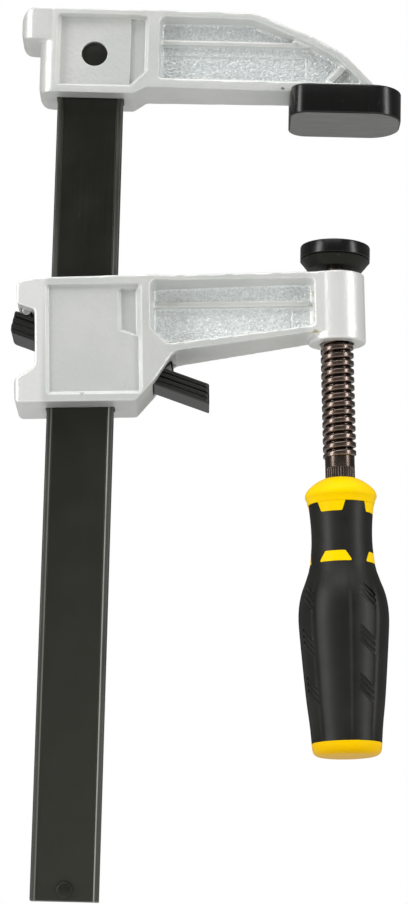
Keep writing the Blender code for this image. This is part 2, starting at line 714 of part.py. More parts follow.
def make_sliding_jaw():
    jaw = slab("sliding_jaw", [rounded(sliding_jaw_outline())], BODY_THICKNESS, parent=jaw_frame)
    height = BODY_TOP + BODY_FLOOR + 2 * OVERRUN
    limit = slab(
        "slide_plan", [rounded(sliding_jaw_plan())], height, (BODY_TOP - BODY_FLOOR) / 2, plan=True, parent=jaw_frame
    )
    combine(jaw, as_cutter(limit), "INTERSECT")
    bevel(jaw, CASTING_EDGE)
    boss = turned(
        "boss",
        [
            (0, BOSS_TOP), (BOSS_RADIUS - CASTING_EDGE, BOSS_TOP), (BOSS_RADIUS, BOSS_TOP - CASTING_EDGE),
            (BOSS_RADIUS, CASTING_EDGE / 2 - BOSS_DROP), (BOSS_RADIUS - CASTING_EDGE / 2, -BOSS_DROP),
            (0, -BOSS_DROP),
        ],
        ROUND_STEPS, jaw_frame, (SPINDLE_REACH, 0, 0),
    )
    combine(jaw, as_cutter(boss), "UNION")
    for side in (-1, 1):
        combine(jaw, sliding_arm_pocket(side), "DIFFERENCE")
        for pocket in sliding_body_pockets(side):
            combine(jaw, pocket, "DIFFERENCE")
    half = BAR_WIDTH / 2 + CHANNEL_CLEARANCE
    deep = BAR_THICKNESS / 2 + CHANNEL_SIDE_CLEARANCE
    tall = BODY_FLOOR + OVERRUN
    channel = box("bar_channel", (-half, -deep, -tall), (half, deep, tall), bar_frame)
    combine(jaw, as_cutter(channel), "DIFFERENCE")
    combine(jaw, lever_slot(), "DIFFERENCE")
    bore_centre = (SPINDLE_REACH, 0, BOSS_TOP / 2)
    bore = rod("thread_bore", SPINDLE_RADIUS + GAP, BOSS_TOP + 2 * OVERRUN, bore_centre, parent=jaw_frame)
    combine(jaw, as_cutter(bore), "DIFFERENCE")
    seat = rod("pivot_seat", PIVOT_RADIUS + GAP, GRIP_DEPTH, (0, 0, 0), "Y", parent=lever_frame)
    combine(jaw, as_cutter(seat), "DIFFERENCE")
    as_part(jaw, cast_silver)
    pin = rod("lever_pivot_pin", PIVOT_RADIUS, GRIP_DEPTH - 2 * GAP, (0, 0, 0), "Y", parent=lever_frame)
    bevel(pin, PIVOT_RADIUS / 6)
    as_part(pin, bright_steel)


def window_centre():
    """Where the bar's middle crosses the lever, measured along the lever from the pivot."""
    slope = LEVER_ANGLE - ROCK
    across = -(PIVOT_X * math.cos(ROCK) - PIVOT_Z * math.sin(ROCK))
    return (across + LEVER_OFFSET * math.sin(slope)) / math.cos(slope) - WINDOW_BIAS


def make_brake_plate():
    middle = window_centre()
    left, right = PLATE_LEFT_END, PLATE_RIGHT_END
    wide, narrow = PLATE_DEPTH / 2, TONGUE_DEPTH / 2
    outer = [
        (left - TONGUE_LENGTH, -narrow, CASTING_EDGE), (left, -narrow, 0), (left, -wide, CASTING_EDGE),
        (right, -wide, CASTING_EDGE), (right, -narrow, 0), (right + TONGUE_LENGTH, -narrow, CASTING_EDGE),
        (right + TONGUE_LENGTH, narrow, CASTING_EDGE), (right, narrow, 0), (right, wide, CASTING_EDGE),
        (left, wide, CASTING_EDGE), (left, narrow, 0), (left - TONGUE_LENGTH, narrow, CASTING_EDGE),
    ]
    half, deep = WINDOW_LENGTH / 2, BAR_THICKNESS / 2 + WINDOW_CLEARANCE
    window = [
        (middle - half, -deep, CASTING_EDGE / 2), (middle + half, -deep, CASTING_EDGE / 2),
        (middle + half, deep, CASTING_EDGE / 2), (middle - half, deep, CASTING_EDGE / 2),
    ]
    plate = slab(
        "brake_plate", [rounded(outer, 3), rounded(window, 3)], PLATE_THICKNESS, -LEVER_OFFSET, plan=True,
        parent=lever_frame,
    )
    as_part(plate, bright_steel)


def grip_grooves(name, grip, left, right, height, middle_level):
    """Level grooves along both broad sides of a grip, cut by one comb of boxes."""
    pitch = height / (GROOVE_COUNT + 1)
    comb = bmesh.new()
    for side in (-1, 1):
        for index in range(GROOVE_COUNT):
            level = middle_level - height / 2 + pitch * (index + 1)
            tooth = bmesh.ops.create_cube(comb, size=1.0)["verts"]
            bmesh.ops.scale(comb, verts=tooth, vec=(right - left, 2 * GROOVE_DEPTH, GROOVE_WIDTH))
            middle = (left + right) / 2
            bmesh.ops.translate(comb, verts=tooth, vec=(middle, side * GRIP_DEPTH / 2, level))
    combine(grip, as_cutter(mesh_object(f"{name}_grooves", comb, lever_frame)), "DIFFERENCE")


def tongue_slot(name, left, right):
    half = TONGUE_DEPTH / 2 + GAP
    thick = PLATE_THICKNESS / 2 + GAP
    low = (left - GAP, -half, -LEVER_OFFSET - thick)
    high = (right + GAP, half, -LEVER_OFFSET + thick)
    return as_cutter(box(name, low, high, lever_frame))


def make_lever_grips():
    high, low = -LEVER_OFFSET + LEFT_GRIP_HEIGHT / 2, -LEVER_OFFSET - LEFT_GRIP_HEIGHT / 2
    inner = PLATE_LEFT_END - GAP
    outline = [
        (-LEFT_GRIP_OUTSIDE, low, LEFT_GRIP_RADIUS), (inner, low, 0), (inner, high, 0),
        (-LEFT_GRIP_OUTSIDE, high, LEFT_GRIP_RADIUS),
    ]
    left_grip = slab("lever_grip_left", [rounded(outline)], GRIP_DEPTH, parent=lever_frame)
    bevel(left_grip, GRIP_EDGE)
    combine(left_grip, tongue_slot("left_tongue_slot", PLATE_LEFT_END - TONGUE_LENGTH, PLATE_LEFT_END), "DIFFERENCE")
    groove_end = inner - GRIP_EDGE * 2
    grip_grooves("left", left_grip, -LEFT_GRIP_OUTSIDE - OVERRUN, groove_end, LEFT_GRIP_HEIGHT, -LEVER_OFFSET)
    as_part(left_grip, matt_black)
    middle = -LEVER_OFFSET - RIGHT_GRIP_DROP
    high, low = middle + RIGHT_GRIP_HEIGHT / 2, middle - RIGHT_GRIP_HEIGHT / 2
    start = PLATE_RIGHT_END + GAP
    rake = RIGHT_GRIP_HEIGHT * math.tan(LEVER_ANGLE)
    outline = [
        (start, low, 0), (RIGHT_GRIP_END + rake, low, CASTING_EDGE), (RIGHT_GRIP_END, high, CASTING_EDGE),
        (start, high, 0),
    ]
    right_grip = slab("lever_grip_right", [rounded(outline)], GRIP_DEPTH, parent=lever_frame)
    bevel(right_grip, GRIP_EDGE)
    combine(
        right_grip, tongue_slot("right_tongue_slot", PLATE_RIGHT_END, PLATE_RIGHT_END + TONGUE_LENGTH), "DIFFERENCE"
    )
    reach = RIGHT_GRIP_END + rake + OVERRUN
    grip_grooves("right", right_grip, RIGHT_GRIP_START + OVERRUN, reach, RIGHT_GRIP_HEIGHT, middle)
    as_part(right_grip, matt_black)


def make_spring():
    """A wire bent to a peak, its two feet turned along the top of the right-hand grip."""
    top = -LEVER_OFFSET - RIGHT_GRIP_DROP + RIGHT_GRIP_HEIGHT / 2 + GAP + WIRE_RADIUS
    centre = SPRING_STATION
    foot = SPRING_FOOT_DEPTH
    route = [
        (centre - SPRING_SPREAD, foot, top), (centre - SPRING_SPREAD, 0, top), (centre, 0, top + SPRING_RISE),
        (centre + SPRING_SPREAD, 0, top), (centre + SPRING_SPREAD, foot, top),
    ]
    curve = bpy.data.curves.new("brake_spring", "CURVE")
    curve.dimensions = "3D"
    curve.bevel_depth = WIRE_RADIUS
    curve.bevel_resolution = 2
    curve.use_fill_caps = True
    spline = curve.splines.new("POLY")
    spline.points.add(len(route) - 1)
    for point, place in zip(spline.points, route):
        point.co = (*place, 1)
    spring = bpy.data.objects.new("brake_spring", curve)
    spring.parent = lever_frame
    parts.objects.link(spring)
    curve.materials.append(blackened_steel)


def make_spindle():
    neck_foot = -HANDLE_TOP - TANG_DEPTH
    ball_neck = BALL_CENTRE - math.sqrt(BALL_RADIUS ** 2 - TIP_NECK_RADIUS ** 2)
    head = BOSS_TOP + THREAD_HEAD_LIFT
    ball = [
        (r, BALL_CENTRE + h)
        for r, h in arc(BALL_RADIUS, ball_neck - BALL_CENTRE, BALL_RADIUS, BALL_STEPS)
    ]
    ball[0] = (0, BALL_CENTRE + BALL_RADIUS)
    profile = ball + [
        (TIP_NECK_RADIUS, head), (SPINDLE_RADIUS - 2 * CASTING_EDGE, head),
        (SPINDLE_RADIUS, head - CASTING_EDGE), (SPINDLE_RADIUS, -THREAD_FOOT),
        (NECK_RADIUS, -THREAD_FOOT - CASTING_EDGE), (NECK_RADIUS, neck_foot), (0, neck_foot),
    ]
    as_part(turned("spindle", profile, BORE_STEPS, spindle_frame), oxide_steel)


def make_swivel_pad():
    inner, outer = BALL_RADIUS + GAP, BALL_RADIUS + GAP + LINER_WALL
    liner = arc(outer, -LINER_DROP, LINER_RISE, BALL_STEPS) + arc(inner, -LINER_DROP, LINER_RISE, BALL_STEPS, True)
    as_part(turned("socket_liner", liner, BORE_STEPS, ball_frame, closed=True), nylon)
    socket = outer + GAP
    crown = SWIVEL_HEIGHT - SWIVEL_FOOT - SWIVEL_CAP_TOP - GAP
    core_radius = SWIVEL_BRIM_RADIUS - SWIVEL_CAP_WALL - GAP
    brim = SWIVEL_CONE - SWIVEL_FOOT
    socket_arc = arc(socket, -SWIVEL_FOOT, socket, BALL_STEPS, True)
    socket_arc[-1] = (0, socket)
    disc = [(0, crown), (core_radius, crown), (core_radius, brim), (SWIVEL_BRIM_RADIUS, brim)]
    disc += [(SWIVEL_FOOT_RADIUS, -SWIVEL_FOOT)] + socket_arc
    as_part(turned("swivel_pad", disc, ROUND_STEPS, ball_frame), blackened_steel)
    top = SWIVEL_HEIGHT - SWIVEL_FOOT
    roof = crown + GAP
    shell = [
        (0, top), (SWIVEL_BRIM_RADIUS - SWIVEL_EDGE, top), (SWIVEL_BRIM_RADIUS, top - SWIVEL_EDGE),
        (SWIVEL_BRIM_RADIUS, brim + GAP), (core_radius + GAP, brim + GAP), (core_radius + GAP, roof), (0, roof),
    ]
    as_part(turned("swivel_pad_cap", shell, ROUND_STEPS, ball_frame), glossy_black)


def handle_points(shares, margin=0.0):
    return [
        (radius * BELLY_RADIUS - margin, -HANDLE_TOP - place * HANDLE_LENGTH)
        for place, radius in shares
    ]


def radial_wedge(name, top, foot, top_width, foot_width, angle):
    """A trapezoid, level at top and foot, pushed out from the handle's axis at an angle."""
    corners = [(-top_width / 2, top), (top_width / 2, top), (foot_width / 2, foot), (-foot_width / 2, foot)]
    reach = BELLY_RADIUS + OVERRUN
    wedge = slab(name, [corners], reach, -reach / 2, parent=spindle_frame)
    wedge.rotation_euler.z = angle
    return as_cutter(wedge)


def handle_wedges(name, gap):
    """Windows and collar tabs of the core, drawn larger by the gap where the sleeve is cut for them."""
    collar_foot = -HANDLE_TOP - COLLAR_SHARE * HANDLE_LENGTH
    window_top = -HANDLE_TOP - WINDOW_TOP_SHARE * HANDLE_LENGTH
    wedges = []
    for index in range(PANEL_COUNT):
        angle = PANEL_PHASE + math.tau * index / PANEL_COUNT
        tab_foot = collar_foot - CASTELLATION - gap
        tab = (collar_foot + OVERRUN, tab_foot, TAB_HEAD_WIDTH + 2 * gap, TAB_FOOT_WIDTH + 2 * gap)
        wedges.append(radial_wedge(f"{name}_tab_{index}", *tab, angle))
        foot = window_top - WINDOW_HEIGHT - gap
        window = (window_top + gap, foot, WINDOW_TOP_WIDTH + 2 * gap, WINDOW_FOOT_WIDTH + 2 * gap)
        wedges.append(radial_wedge(f"{name}_window_{index}", *window, angle))
    return wedges


def make_handle():
    core_margin = GRIP_WALL + GAP
    sleeve = handle_points(SLEEVE_SHARES)
    collar_foot = -HANDLE_TOP - COLLAR_SHARE * HANDLE_LENGTH
    sleeve_foot = -HANDLE_TOP - HANDLE_LENGTH * (1 - END_CAP_SHARE)
    foot_radius = sleeve[-1][0]
    collar_radius = sleeve[0][0]
    inner = [(radius - core_margin, height) for radius, height in sleeve]
    bore = NECK_RADIUS + HANDLE_BORE_CLEARANCE
    bore_foot = -HANDLE_TOP - TANG_DEPTH - GAP
    core = [(0, bore_foot), (bore, bore_foot), (bore, -HANDLE_TOP)]
    core += handle_points(COLLAR_SHARES) + [(collar_radius, collar_foot), (inner[0][0], collar_foot)]
    core += inner[1:] + [(inner[-1][0], sleeve_foot), (foot_radius, sleeve_foot)] + handle_points(FOOT_SHARES)
    core.append((0, core[-1][1]))
    core_solid = turned("handle_core", core, HANDLE_STEPS, spindle_frame)
    outer_ring = [(collar_radius, collar_foot + GAP)] + sleeve
    ring = outer_ring + [(inner[-1][0] - GAP, sleeve[-1][1])]
    ring += [(radius - GAP, height) for radius, height in inner[::-1]][1:]
    ring.append((inner[0][0] - GAP, collar_foot + GAP))
    for index, wedge in enumerate(handle_wedges("core", 0.0)):
        band = as_cutter(turned(f"core_band_{index}", ring, HANDLE_STEPS, spindle_frame, closed=True))
        combine(band, wedge, "INTERSECT")
        combine(core_solid, band, "UNION")
    as_part(core_solid, yellow_plastic)
    shell = [(collar_radius, collar_foot - GAP)] + sleeve + [(foot_radius, sleeve_foot + GAP)]
    shell += [(inner[-1][0] + GAP, sleeve_foot + GAP)]
    shell += [(radius + GAP, height) for radius, height in inner[::-1][:-1]]
    shell.append((inner[0][0] + GAP, collar_foot - GAP))
    sleeve_solid = turned("handle_grip", shell, HANDLE_STEPS, spindle_frame, closed=True)
    for wedge in handle_wedges("sleeve", GAP):
        combine(sleeve_solid, wedge, "DIFFERENCE")
    as_part(sleeve_solid, soft_black)


LEVER_OFFSET = PIVOT_RADIUS + GAP + LEFT_GRIP_HEIGHT / 2

clear_scene()
parts = new_collection("f_clamp")
cutters = new_collection("cutters")
cutters.hide_render = True

cast_silver = material("cast_silver_paint", (0.62, 0.63, 0.61), 0.42, 0.25)
blackened_steel = material("blackened_steel", (0.025, 0.025, 0.024), 0.38, 0.6)
oxide_steel = material("oxide_steel", (0.06, 0.045, 0.038), 0.30, 0.85)
bright_steel = material("bright_steel", (0.55, 0.55, 0.54), 0.32, 1.0)
glossy_black = material("glossy_black_plastic", (0.012, 0.012, 0.011), 0.16, 0.0)
matt_black = material("matt_black_plastic", (0.022, 0.021, 0.020), 0.48, 0.0)
soft_black = material("soft_black_grip", (0.032, 0.032, 0.030), 0.55, 0.0)
yellow_plastic = material("yellow_plastic", (0.90, 0.62, 0.0), 0.30, 0.0)
nylon = material("nylon_liner", (0.55, 0.54, 0.50), 0.45, 0.0)

jaw_frame = empty("jaw_frame", (-BAR_REACH, 0, -SLIDE_DROP), (0, -ROCK, 0))
bar_frame = empty("bar_frame", (0, 0, 0), (0, ROCK, 0), jaw_frame)
lever_frame = empty("lever_frame", (PIVOT_X, 0, PIVOT_Z), (0, LEVER_ANGLE, 0), jaw_frame)
spindle_frame = empty("spindle_frame", (SPINDLE_REACH, 0, 0), (0, 0, 0), jaw_frame)
ball_frame = empty("ball_frame", (0, 0, BALL_CENTRE), (0, ROCK, 0), spindle_frame)

make_bar()
make_fixed_jaw()
make_fixed_pad()
make_sliding_jaw()
make_brake_plate()
make_lever_grips()
make_spring()
make_spindle()
make_swivel_pad()
make_handle()
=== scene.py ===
import math

import bmesh
import bpy
from mathutils import Matrix, Vector


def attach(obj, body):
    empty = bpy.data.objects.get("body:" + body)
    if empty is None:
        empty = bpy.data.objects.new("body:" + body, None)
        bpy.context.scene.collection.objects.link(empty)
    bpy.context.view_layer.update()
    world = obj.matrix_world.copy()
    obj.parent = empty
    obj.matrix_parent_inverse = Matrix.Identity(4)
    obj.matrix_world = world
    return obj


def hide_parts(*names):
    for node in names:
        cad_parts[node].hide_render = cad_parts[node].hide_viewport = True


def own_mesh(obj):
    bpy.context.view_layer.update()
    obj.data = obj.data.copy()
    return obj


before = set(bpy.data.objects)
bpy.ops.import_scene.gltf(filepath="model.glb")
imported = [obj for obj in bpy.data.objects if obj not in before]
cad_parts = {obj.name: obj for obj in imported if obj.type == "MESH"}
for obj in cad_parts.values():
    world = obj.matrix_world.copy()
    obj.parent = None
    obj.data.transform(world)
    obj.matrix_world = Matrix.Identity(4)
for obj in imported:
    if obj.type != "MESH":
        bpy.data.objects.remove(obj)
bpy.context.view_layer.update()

# All sizes below are in millimetres; a piece is brought to metres when it is finished.
# The sliding jaw, the lever and the spindle are drawn upright and then leaned into place.
lean = math.radians(2.2)
jawPlace = Matrix.Translation((-124.9, 0, -115)) @ Matrix.Rotation(-lean, 4, "Y")
leverPlace = jawPlace @ Matrix.Translation((-26.4, 0, 15.4)) @ Matrix.Rotation(math.radians(21), 4, "Y")
spindlePlace = jawPlace @ Matrix.Translation((122.8, 0, 0))
ballPlace = spindlePlace @ Matrix.Translation((0, 0, 39.5)) @ Matrix.Rotation(lean, 4, "Y")


class Flow:
    # a number that changes over a surface
    def __init__(self, tree, socket):
        self.tree = tree
        self.socket = socket

    def maths(self, operation, *values):
        node = self.tree.nodes.new("ShaderNodeMath")
        node.operation = operation
        for slot, value in zip(node.inputs, values):
            if isinstance(value, Flow):
                self.tree.links.new(value.socket, slot)
            else:
                slot.default_value = value
        return Flow(self.tree, node.outputs[0])

    def __add__(self, other):
        return self.maths("ADD", self, other)

    def __radd__(self, other):
        return self.maths("ADD", other, self)

    def __sub__(self, other):
        return self.maths("SUBTRACT", self, other)

    def __rsub__(self, other):
        return self.maths("SUBTRACT", other, self)

    def __mul__(self, other):
        return self.maths("MULTIPLY", self, other)


class Finish:
    # a material that is built up from fields over the surface
    def __init__(self, name, colour, **fixed):
        self.material = bpy.data.materials.new(name)
        self.material.use_nodes = True
        self.tree = self.material.node_tree
        self.shader = self.tree.nodes["Principled BSDF"]
        self.shader.inputs["Base Color"].default_value = (*colour, 1)
        self.material.diffuse_color = (*colour, 1)
        for socket, value in fixed.items():
            self.shader.inputs[socket.replace("_", " ")].default_value = value

    def add(self, kind, settings=None, values=None, out=0):
        node = self.tree.nodes.new(kind)
        for key, value in (settings or {}).items():
            setattr(node, key, value)
        for key, value in (values or {}).items():
            if isinstance(value, Flow):
                self.tree.links.new(value.socket, node.inputs[key])
            else:
                node.inputs[key].default_value = value
        return Flow(self.tree, node.outputs[out])

    def feed(self, socket, flow):
        self.tree.links.new(flow.socket, self.shader.inputs[socket])

    def blend(self, mask, a, b):
        return self.add("ShaderNodeMix", {"data_type": "RGBA"}, {0: mask, 6: a, 7: b}, 2)

    def here(self):
        # where the point lies in the piece's own frame, in metres
        return self.add("ShaderNodeTexCoord", out=3)

    def normal(self):
        # the true direction of the face
        return self.add("ShaderNodeNewGeometry", out=1)

    def place(self, stretch=(1, 1, 1)):
        return self.add("ShaderNodeMapping", None, {"Vector": self.here(), "Scale": stretch})

    def axis(self, vector, name):
        return self.add("ShaderNodeSeparateXYZ", None, {0: vector}, "XYZ".index(name))

    def part(self, name):
        return self.axis(self.here(), name)

    def cloud(self, size, detail=2.0, stretch=(1, 1, 1), rough=0.5):
        # noise whose blotches are about this many millimetres across
        values = {
            "Vector": self.place(stretch), "Scale": 1000 / size, "Detail": detail, "Roughness": rough,
        }
        return self.add("ShaderNodeTexNoise", None, values)

    def pebbles(self, size):
        values = {"Vector": self.place(), "Scale": 1000 / size}
        return self.add("ShaderNodeTexVoronoi", {"feature": "SMOOTH_F1"}, values)

    def step(self, flow, low, high, start=0.0, end=1.0):
        values = {"Value": flow, "From Min": low, "From Max": high, "To Min": start, "To Max": end}
        return self.add("ShaderNodeMapRange", {"interpolation_type": "SMOOTHSTEP"}, values)

    def bump(self, height, strength, reach):
        values = {"Height": height, "Strength": strength, "Distance": reach / 1000}
        self.feed("Normal", self.add("ShaderNodeBump", None, values))


# recess and rise are in millimetres, the last four as the shader takes them, in metres
# the dark corner colour here is painted shade
# the paler edge colour here is a painted highlight
# the whitest colour here, for the horn and the boss, is a painted highlight
silver = {
    "plain": (0.6, 0.61, 0.59), "low": (0.66, 0.675, 0.65, 1), "high": (0.72, 0.725, 0.7, 1),
    "speck": (0.3, 0.32, 0.28, 1), "rubbedAndHighlight": (0.93, 0.94, 0.93, 1), "paintedShade": (0.24, 0.26, 0.245, 1),
    "paintedHighlight": (0.9, 0.9, 0.88, 1), "floorShades": (1.12, 0.86), "recess": 5.2, "rise": 0.9,
    "easing": 0.0005, "corner": 0.0028, "ragged": 0.0022, "relief": 0.00075,
}


def castSilver(name, marks, floorTone, paintedHighlight=()):
    # satin silver paint over a casting: smooth outside, pebbled on the sunk floors
    finish = Finish(name, silver["plain"], Metallic=0.4)
    recess = silver["recess"]
    depth = finish.part("Y")
    depth = depth.maths("ABSOLUTE", depth)
    true = finish.normal()
    sideways = finish.axis(true, "Y")
    sideways = finish.step(sideways.maths("ABSOLUTE", sideways), 0.35, 0.75)
    floorMask = finish.step(depth, recess / 1000, (recess + silver["rise"]) / 1000, 1.0, 0.0) * sideways
    tone = finish.cloud(26, 3)
    fine = finish.cloud(0.9, 2)
    colour = finish.blend(finish.step(tone, 0.35, 0.65), silver["low"], silver["high"])
    mottled = finish.step(finish.cloud(1.3, 4, rough=0.65), 0.38, 0.62)
    pale, dull = [(*(value * share for value in floorTone), 1) for share in silver["floorShades"]]
    colour = finish.blend(floorMask * 0.9, colour, finish.blend(mottled, dull, pale))
    specks = finish.step(finish.cloud(1.6, 4, rough=0.7), 0.66, 0.76)
    colour = finish.blend(specks * 0.5, colour, silver["speck"])
    # painted highlight: edges, found from the rounded normal, are painted paler where they would catch the
    # light
    eased = finish.add("ShaderNodeBevel", {"samples": 6}, {"Radius": silver["easing"]})
    facing = finish.add("ShaderNodeVectorMath", {"operation": "DOT_PRODUCT"}, {0: true, 1: eased}, 1)
    edge = finish.step(facing, 0.995, 0.9) * finish.step(finish.cloud(3, 3), 0.25, 0.5, 0.5, 1.0)
    colour = finish.blend(edge * 0.5, colour, silver["rubbedAndHighlight"])
    # painted shade: the inner corners are painted darker, found by an occlusion mask
    clear = finish.add("ShaderNodeAmbientOcclusion", {"samples": 8}, {"Distance": silver["corner"]}, 1)
    colour = finish.blend(finish.step(clear, 0.72, 0.3) * 0.5, colour, silver["paintedShade"])
    for start, end, share in paintedHighlight:
        # painted highlight: whiter over these spans along X
        highlightMask = finish.step(finish.part("X"), start / 1000, end / 1000)
        colour = finish.blend(highlightMask * share, colour, silver["paintedHighlight"])
    where = finish.here()
    ragged = finish.cloud(0.8, 3) * silver["ragged"]
    for spot, size, shade in marks:
        spot = [value / 1000 for value in spot]
        away = finish.add("ShaderNodeVectorMath", {"operation": "DISTANCE"}, {0: where, 1: spot}, 1)
        mask = finish.step(away + ragged, (size + 0.9) / 1000, (size + 1.4) / 1000, 1.0, 0.0)
        colour = finish.blend(mask * 0.85, colour, (*shade, 1))
    finish.feed("Base Color", colour)
    finish.feed("Roughness", 0.3 + fine * 0.12 - floorMask * 0.06)
    grain = finish.cloud(0.6, 2) * 0.1 + finish.cloud(2.4, 2) * 0.22
    rough = finish.pebbles(1.2) * 0.35 + finish.cloud(0.9, 3) * 0.6 + finish.cloud(2.6, 2) * 0.5
    relief = {
        "Height": grain + floorMask * rough, "Strength": 1.0, "Distance": silver["relief"], "Normal": eased,
    }
    finish.feed("Normal", finish.add("ShaderNodeBump", None, relief))
    return finish.material


# the bright line colour is a painted highlight
# the lighter colour for the bar's foot is a painted reflection
black = {
    "plain": (0.021, 0.021, 0.0195), "tint": (1, 1, 0.82, 1), "low": (0.006, 0.006, 0.005, 1),
    "high": (0.011, 0.011, 0.0095, 1), "rubbedAndHighlight": (0.07, 0.07, 0.066, 1), "paintedLowerSheen": (0.024, 0.024, 0.021, 1),
    "strip": (0.064, 0.065, 0.06, 1), "line": (0.32, 0.32, 0.3, 1), "stripFrom": (0.0138, 0.0141),
    "highlightFrom": (0.0133, 0.0136), "highlightTo": (0.0142, 0.0139), "sideways": 5,
}


def blackenedSteel(name, along="Z", strips=False, shine=0.5):
    # drawn steel, chemically blackened: faint streaks along its length and a few rubbed marks
    finish = Finish(name, black["plain"], Specular_IOR_Level=shine, Specular_Tint=black["tint"])
    stretch = {"Z": (1, 1, 0.03), "X": (0.03, 1, 1)}[along]
    streaks = finish.cloud(1.4, 3, stretch)
    patches = finish.cloud(18, 3)
    rubbedAndHighlight = finish.step(finish.cloud(5, 4, (1, 1, 0.35), rough=0.65), 0.66, 0.76)
    colour = finish.blend(finish.step(patches, 0.3, 0.7), black["low"], black["high"])
    colour = finish.blend(rubbedAndHighlight * 0.25, colour, black["rubbedAndHighlight"])
    if strips:
        # the two raised edge strips are rubbed greyer than the groove between them
        across = finish.part("X") - bar["centre"] / 1000
        across = across.maths("ABSOLUTE", across)
        worn = finish.step(finish.cloud(7, 4, (1, 1, 0.2)), 0.2, 0.7, 0.3, 1.0)
        worn = finish.step(across, *black["stripFrom"]) * worn
        # painted reflection: the bar is painted lighter towards its foot
        paintedLowerSheen = finish.step(finish.part("Z"), 0.0, -0.33)
        colour = finish.blend(paintedLowerSheen * 0.5, colour, black["paintedLowerSheen"])
        colour = finish.blend(worn * 0.9, colour, black["strip"])
        # a painted highlight line along each strip's inner border, stronger lower down and on the right
        line = finish.step(across, *black["highlightFrom"]) * finish.step(across, *black["highlightTo"])
        lower = finish.step(finish.part("Z"), -0.04, -0.15, 0.1, 1.0)
        left, right = [(bar["centre"] + side * black["sideways"]) / 1000 for side in (-1, 1)]
        highlightRightward = finish.step(finish.part("X"), left, right, 0.4, 1.0)
        uneven = finish.step(finish.cloud(9, 3, (1, 1, 0.2)), 0.2, 0.6, 0.5, 1.0)
        colour = finish.blend(line * lower * highlightRightward * uneven, colour, black["line"])
    finish.feed("Base Color", colour)
    finish.feed("Roughness", 0.27 + streaks * 0.16 - rubbedAndHighlight * 0.06)
    finish.bump(streaks * 0.5 + finish.cloud(0.5, 2) * 0.3, 0.25, 0.12)
    return finish.material


def oiledOxide(name):
    # rolled thread, oiled brown-black, its crests painted lighter both as bare rubbed metal and as a painted
    # highlight
    finish = Finish(name, (0.055, 0.04, 0.033), Metallic=1.0, Coat_Weight=0.5, Coat_Roughness=0.2)
    tone = finish.cloud(5, 3)
    # the distance from the leaning axis tells crest from root
    square = Vector((math.cos(lean), 0, math.sin(lean)))
    across = finish.part("X") * square.x + finish.part("Z") * square.z
    across = across - spindlePlace.translation.dot(square) / 1000
    away = across * across + finish.part("Y") * finish.part("Y")
    out = away.maths("SQRT", away)
    crest = finish.step(out, 0.0068, 0.0079)
    colour = finish.blend(finish.step(tone, 0.3, 0.7), (0.035, 0.022, 0.016, 1), (0.07, 0.047, 0.036, 1))
    # painted highlight, with rubbed metal: the crests take a lighter colour
    colour = finish.blend(crest, colour, finish.blend(tone, (0.13, 0.09, 0.07, 1), (0.29, 0.22, 0.185, 1)))
    finish.feed("Base Color", colour)
    finish.feed("Roughness", 0.15 + finish.cloud(1.2, 3) * 0.2)
    finish.bump(finish.cloud(0.8, 3), 0.35, 0.2)
    return finish.material


def zincPlate(name):
    # rolled sheet and pins with bright plating
    finish = Finish(name, (0.55, 0.55, 0.54), Roughness=0.32, Metallic=1.0)
    tone = finish.cloud(4, 3)
    finish.feed("Base Color", finish.blend(tone, (0.46, 0.46, 0.45, 1), (0.62, 0.62, 0.6, 1)))
    finish.feed("Roughness", 0.24 + finish.cloud(0.8, 3) * 0.18)
    finish.bump(finish.cloud(0.6, 2), 0.2, 0.08)
    return finish.material


def glossyPlastic(name):
    # dipped black plastic, nearly mirror smooth, with a slight orange peel and dust-fine scuffs
    finish = Finish(name, (0.01, 0.01, 0.0095), Roughness=0.16)
    scuffs = finish.step(finish.cloud(1.6, 4, (1, 1, 0.4)), 0.62, 0.75)
    tone = finish.cloud(9, 2)
    colour = finish.blend(tone, (0.002, 0.002, 0.0018, 1), (0.004, 0.004, 0.0036, 1))
    # the face that presses on the work is painted grey, both as scuffs and as a painted reflection of the
    # floor
    facing = finish.axis(finish.normal(), "Z")
    face = finish.step(facing, -0.97, -0.99) * finish.step(finish.part("Z"), 0.0002, 0.0004, 1.0, 0.0)
    face = face * finish.step(finish.part("Z"), -0.002, -0.001)
    brushed = finish.cloud(1.4, 4, (0.06, 1, 1), rough=0.6)
    scuffsAndReflection = finish.blend(brushed, (0.07, 0.07, 0.066, 1), (0.26, 0.26, 0.25, 1))
    colour = finish.blend(face, colour, scuffsAndReflection)
    finish.feed("Base Color", colour)
    finish.feed("Roughness", 0.22 + scuffs * 0.12 + tone * 0.06 + face * 0.2)
    finish.bump(finish.cloud(3.5, 2), 0.12, 0.25)
    return finish.material


def mattPlastic(name):
    # moulded lever tips with a fine spark-eroded grain
    finish = Finish(name, (0.02, 0.019, 0.018), Roughness=0.45)
    tone = finish.cloud(6, 3)
    finish.feed("Base Color", finish.blend(tone, (0.006, 0.006, 0.005, 1), (0.012, 0.0115, 0.0095, 1)))
    finish.feed("Roughness", 0.26 + finish.cloud(0.6, 2) * 0.2)
    finish.bump(finish.cloud(0.45, 2), 0.3, 0.1)
    return finish.material


def softGrip(name):
    # overmoulded rubber, matt, a little chalky where hands rub
    finish = Finish(name, (0.01, 0.01, 0.008), Specular_IOR_Level=0.36)
    tone = finish.cloud(14, 3)
    colour = finish.blend(finish.step(tone, 0.3, 0.7), (0.007, 0.0068, 0.0052, 1), (0.012, 0.0115, 0.009, 1))
    finish.feed("Base Color", colour)
    finish.feed("Roughness", 0.36 + finish.cloud(0.7, 2) * 0.16)
    finish.bump(finish.cloud(0.5, 2) + finish.cloud(4, 2) * 0.3, 0.22, 0.1)
    return finish.material


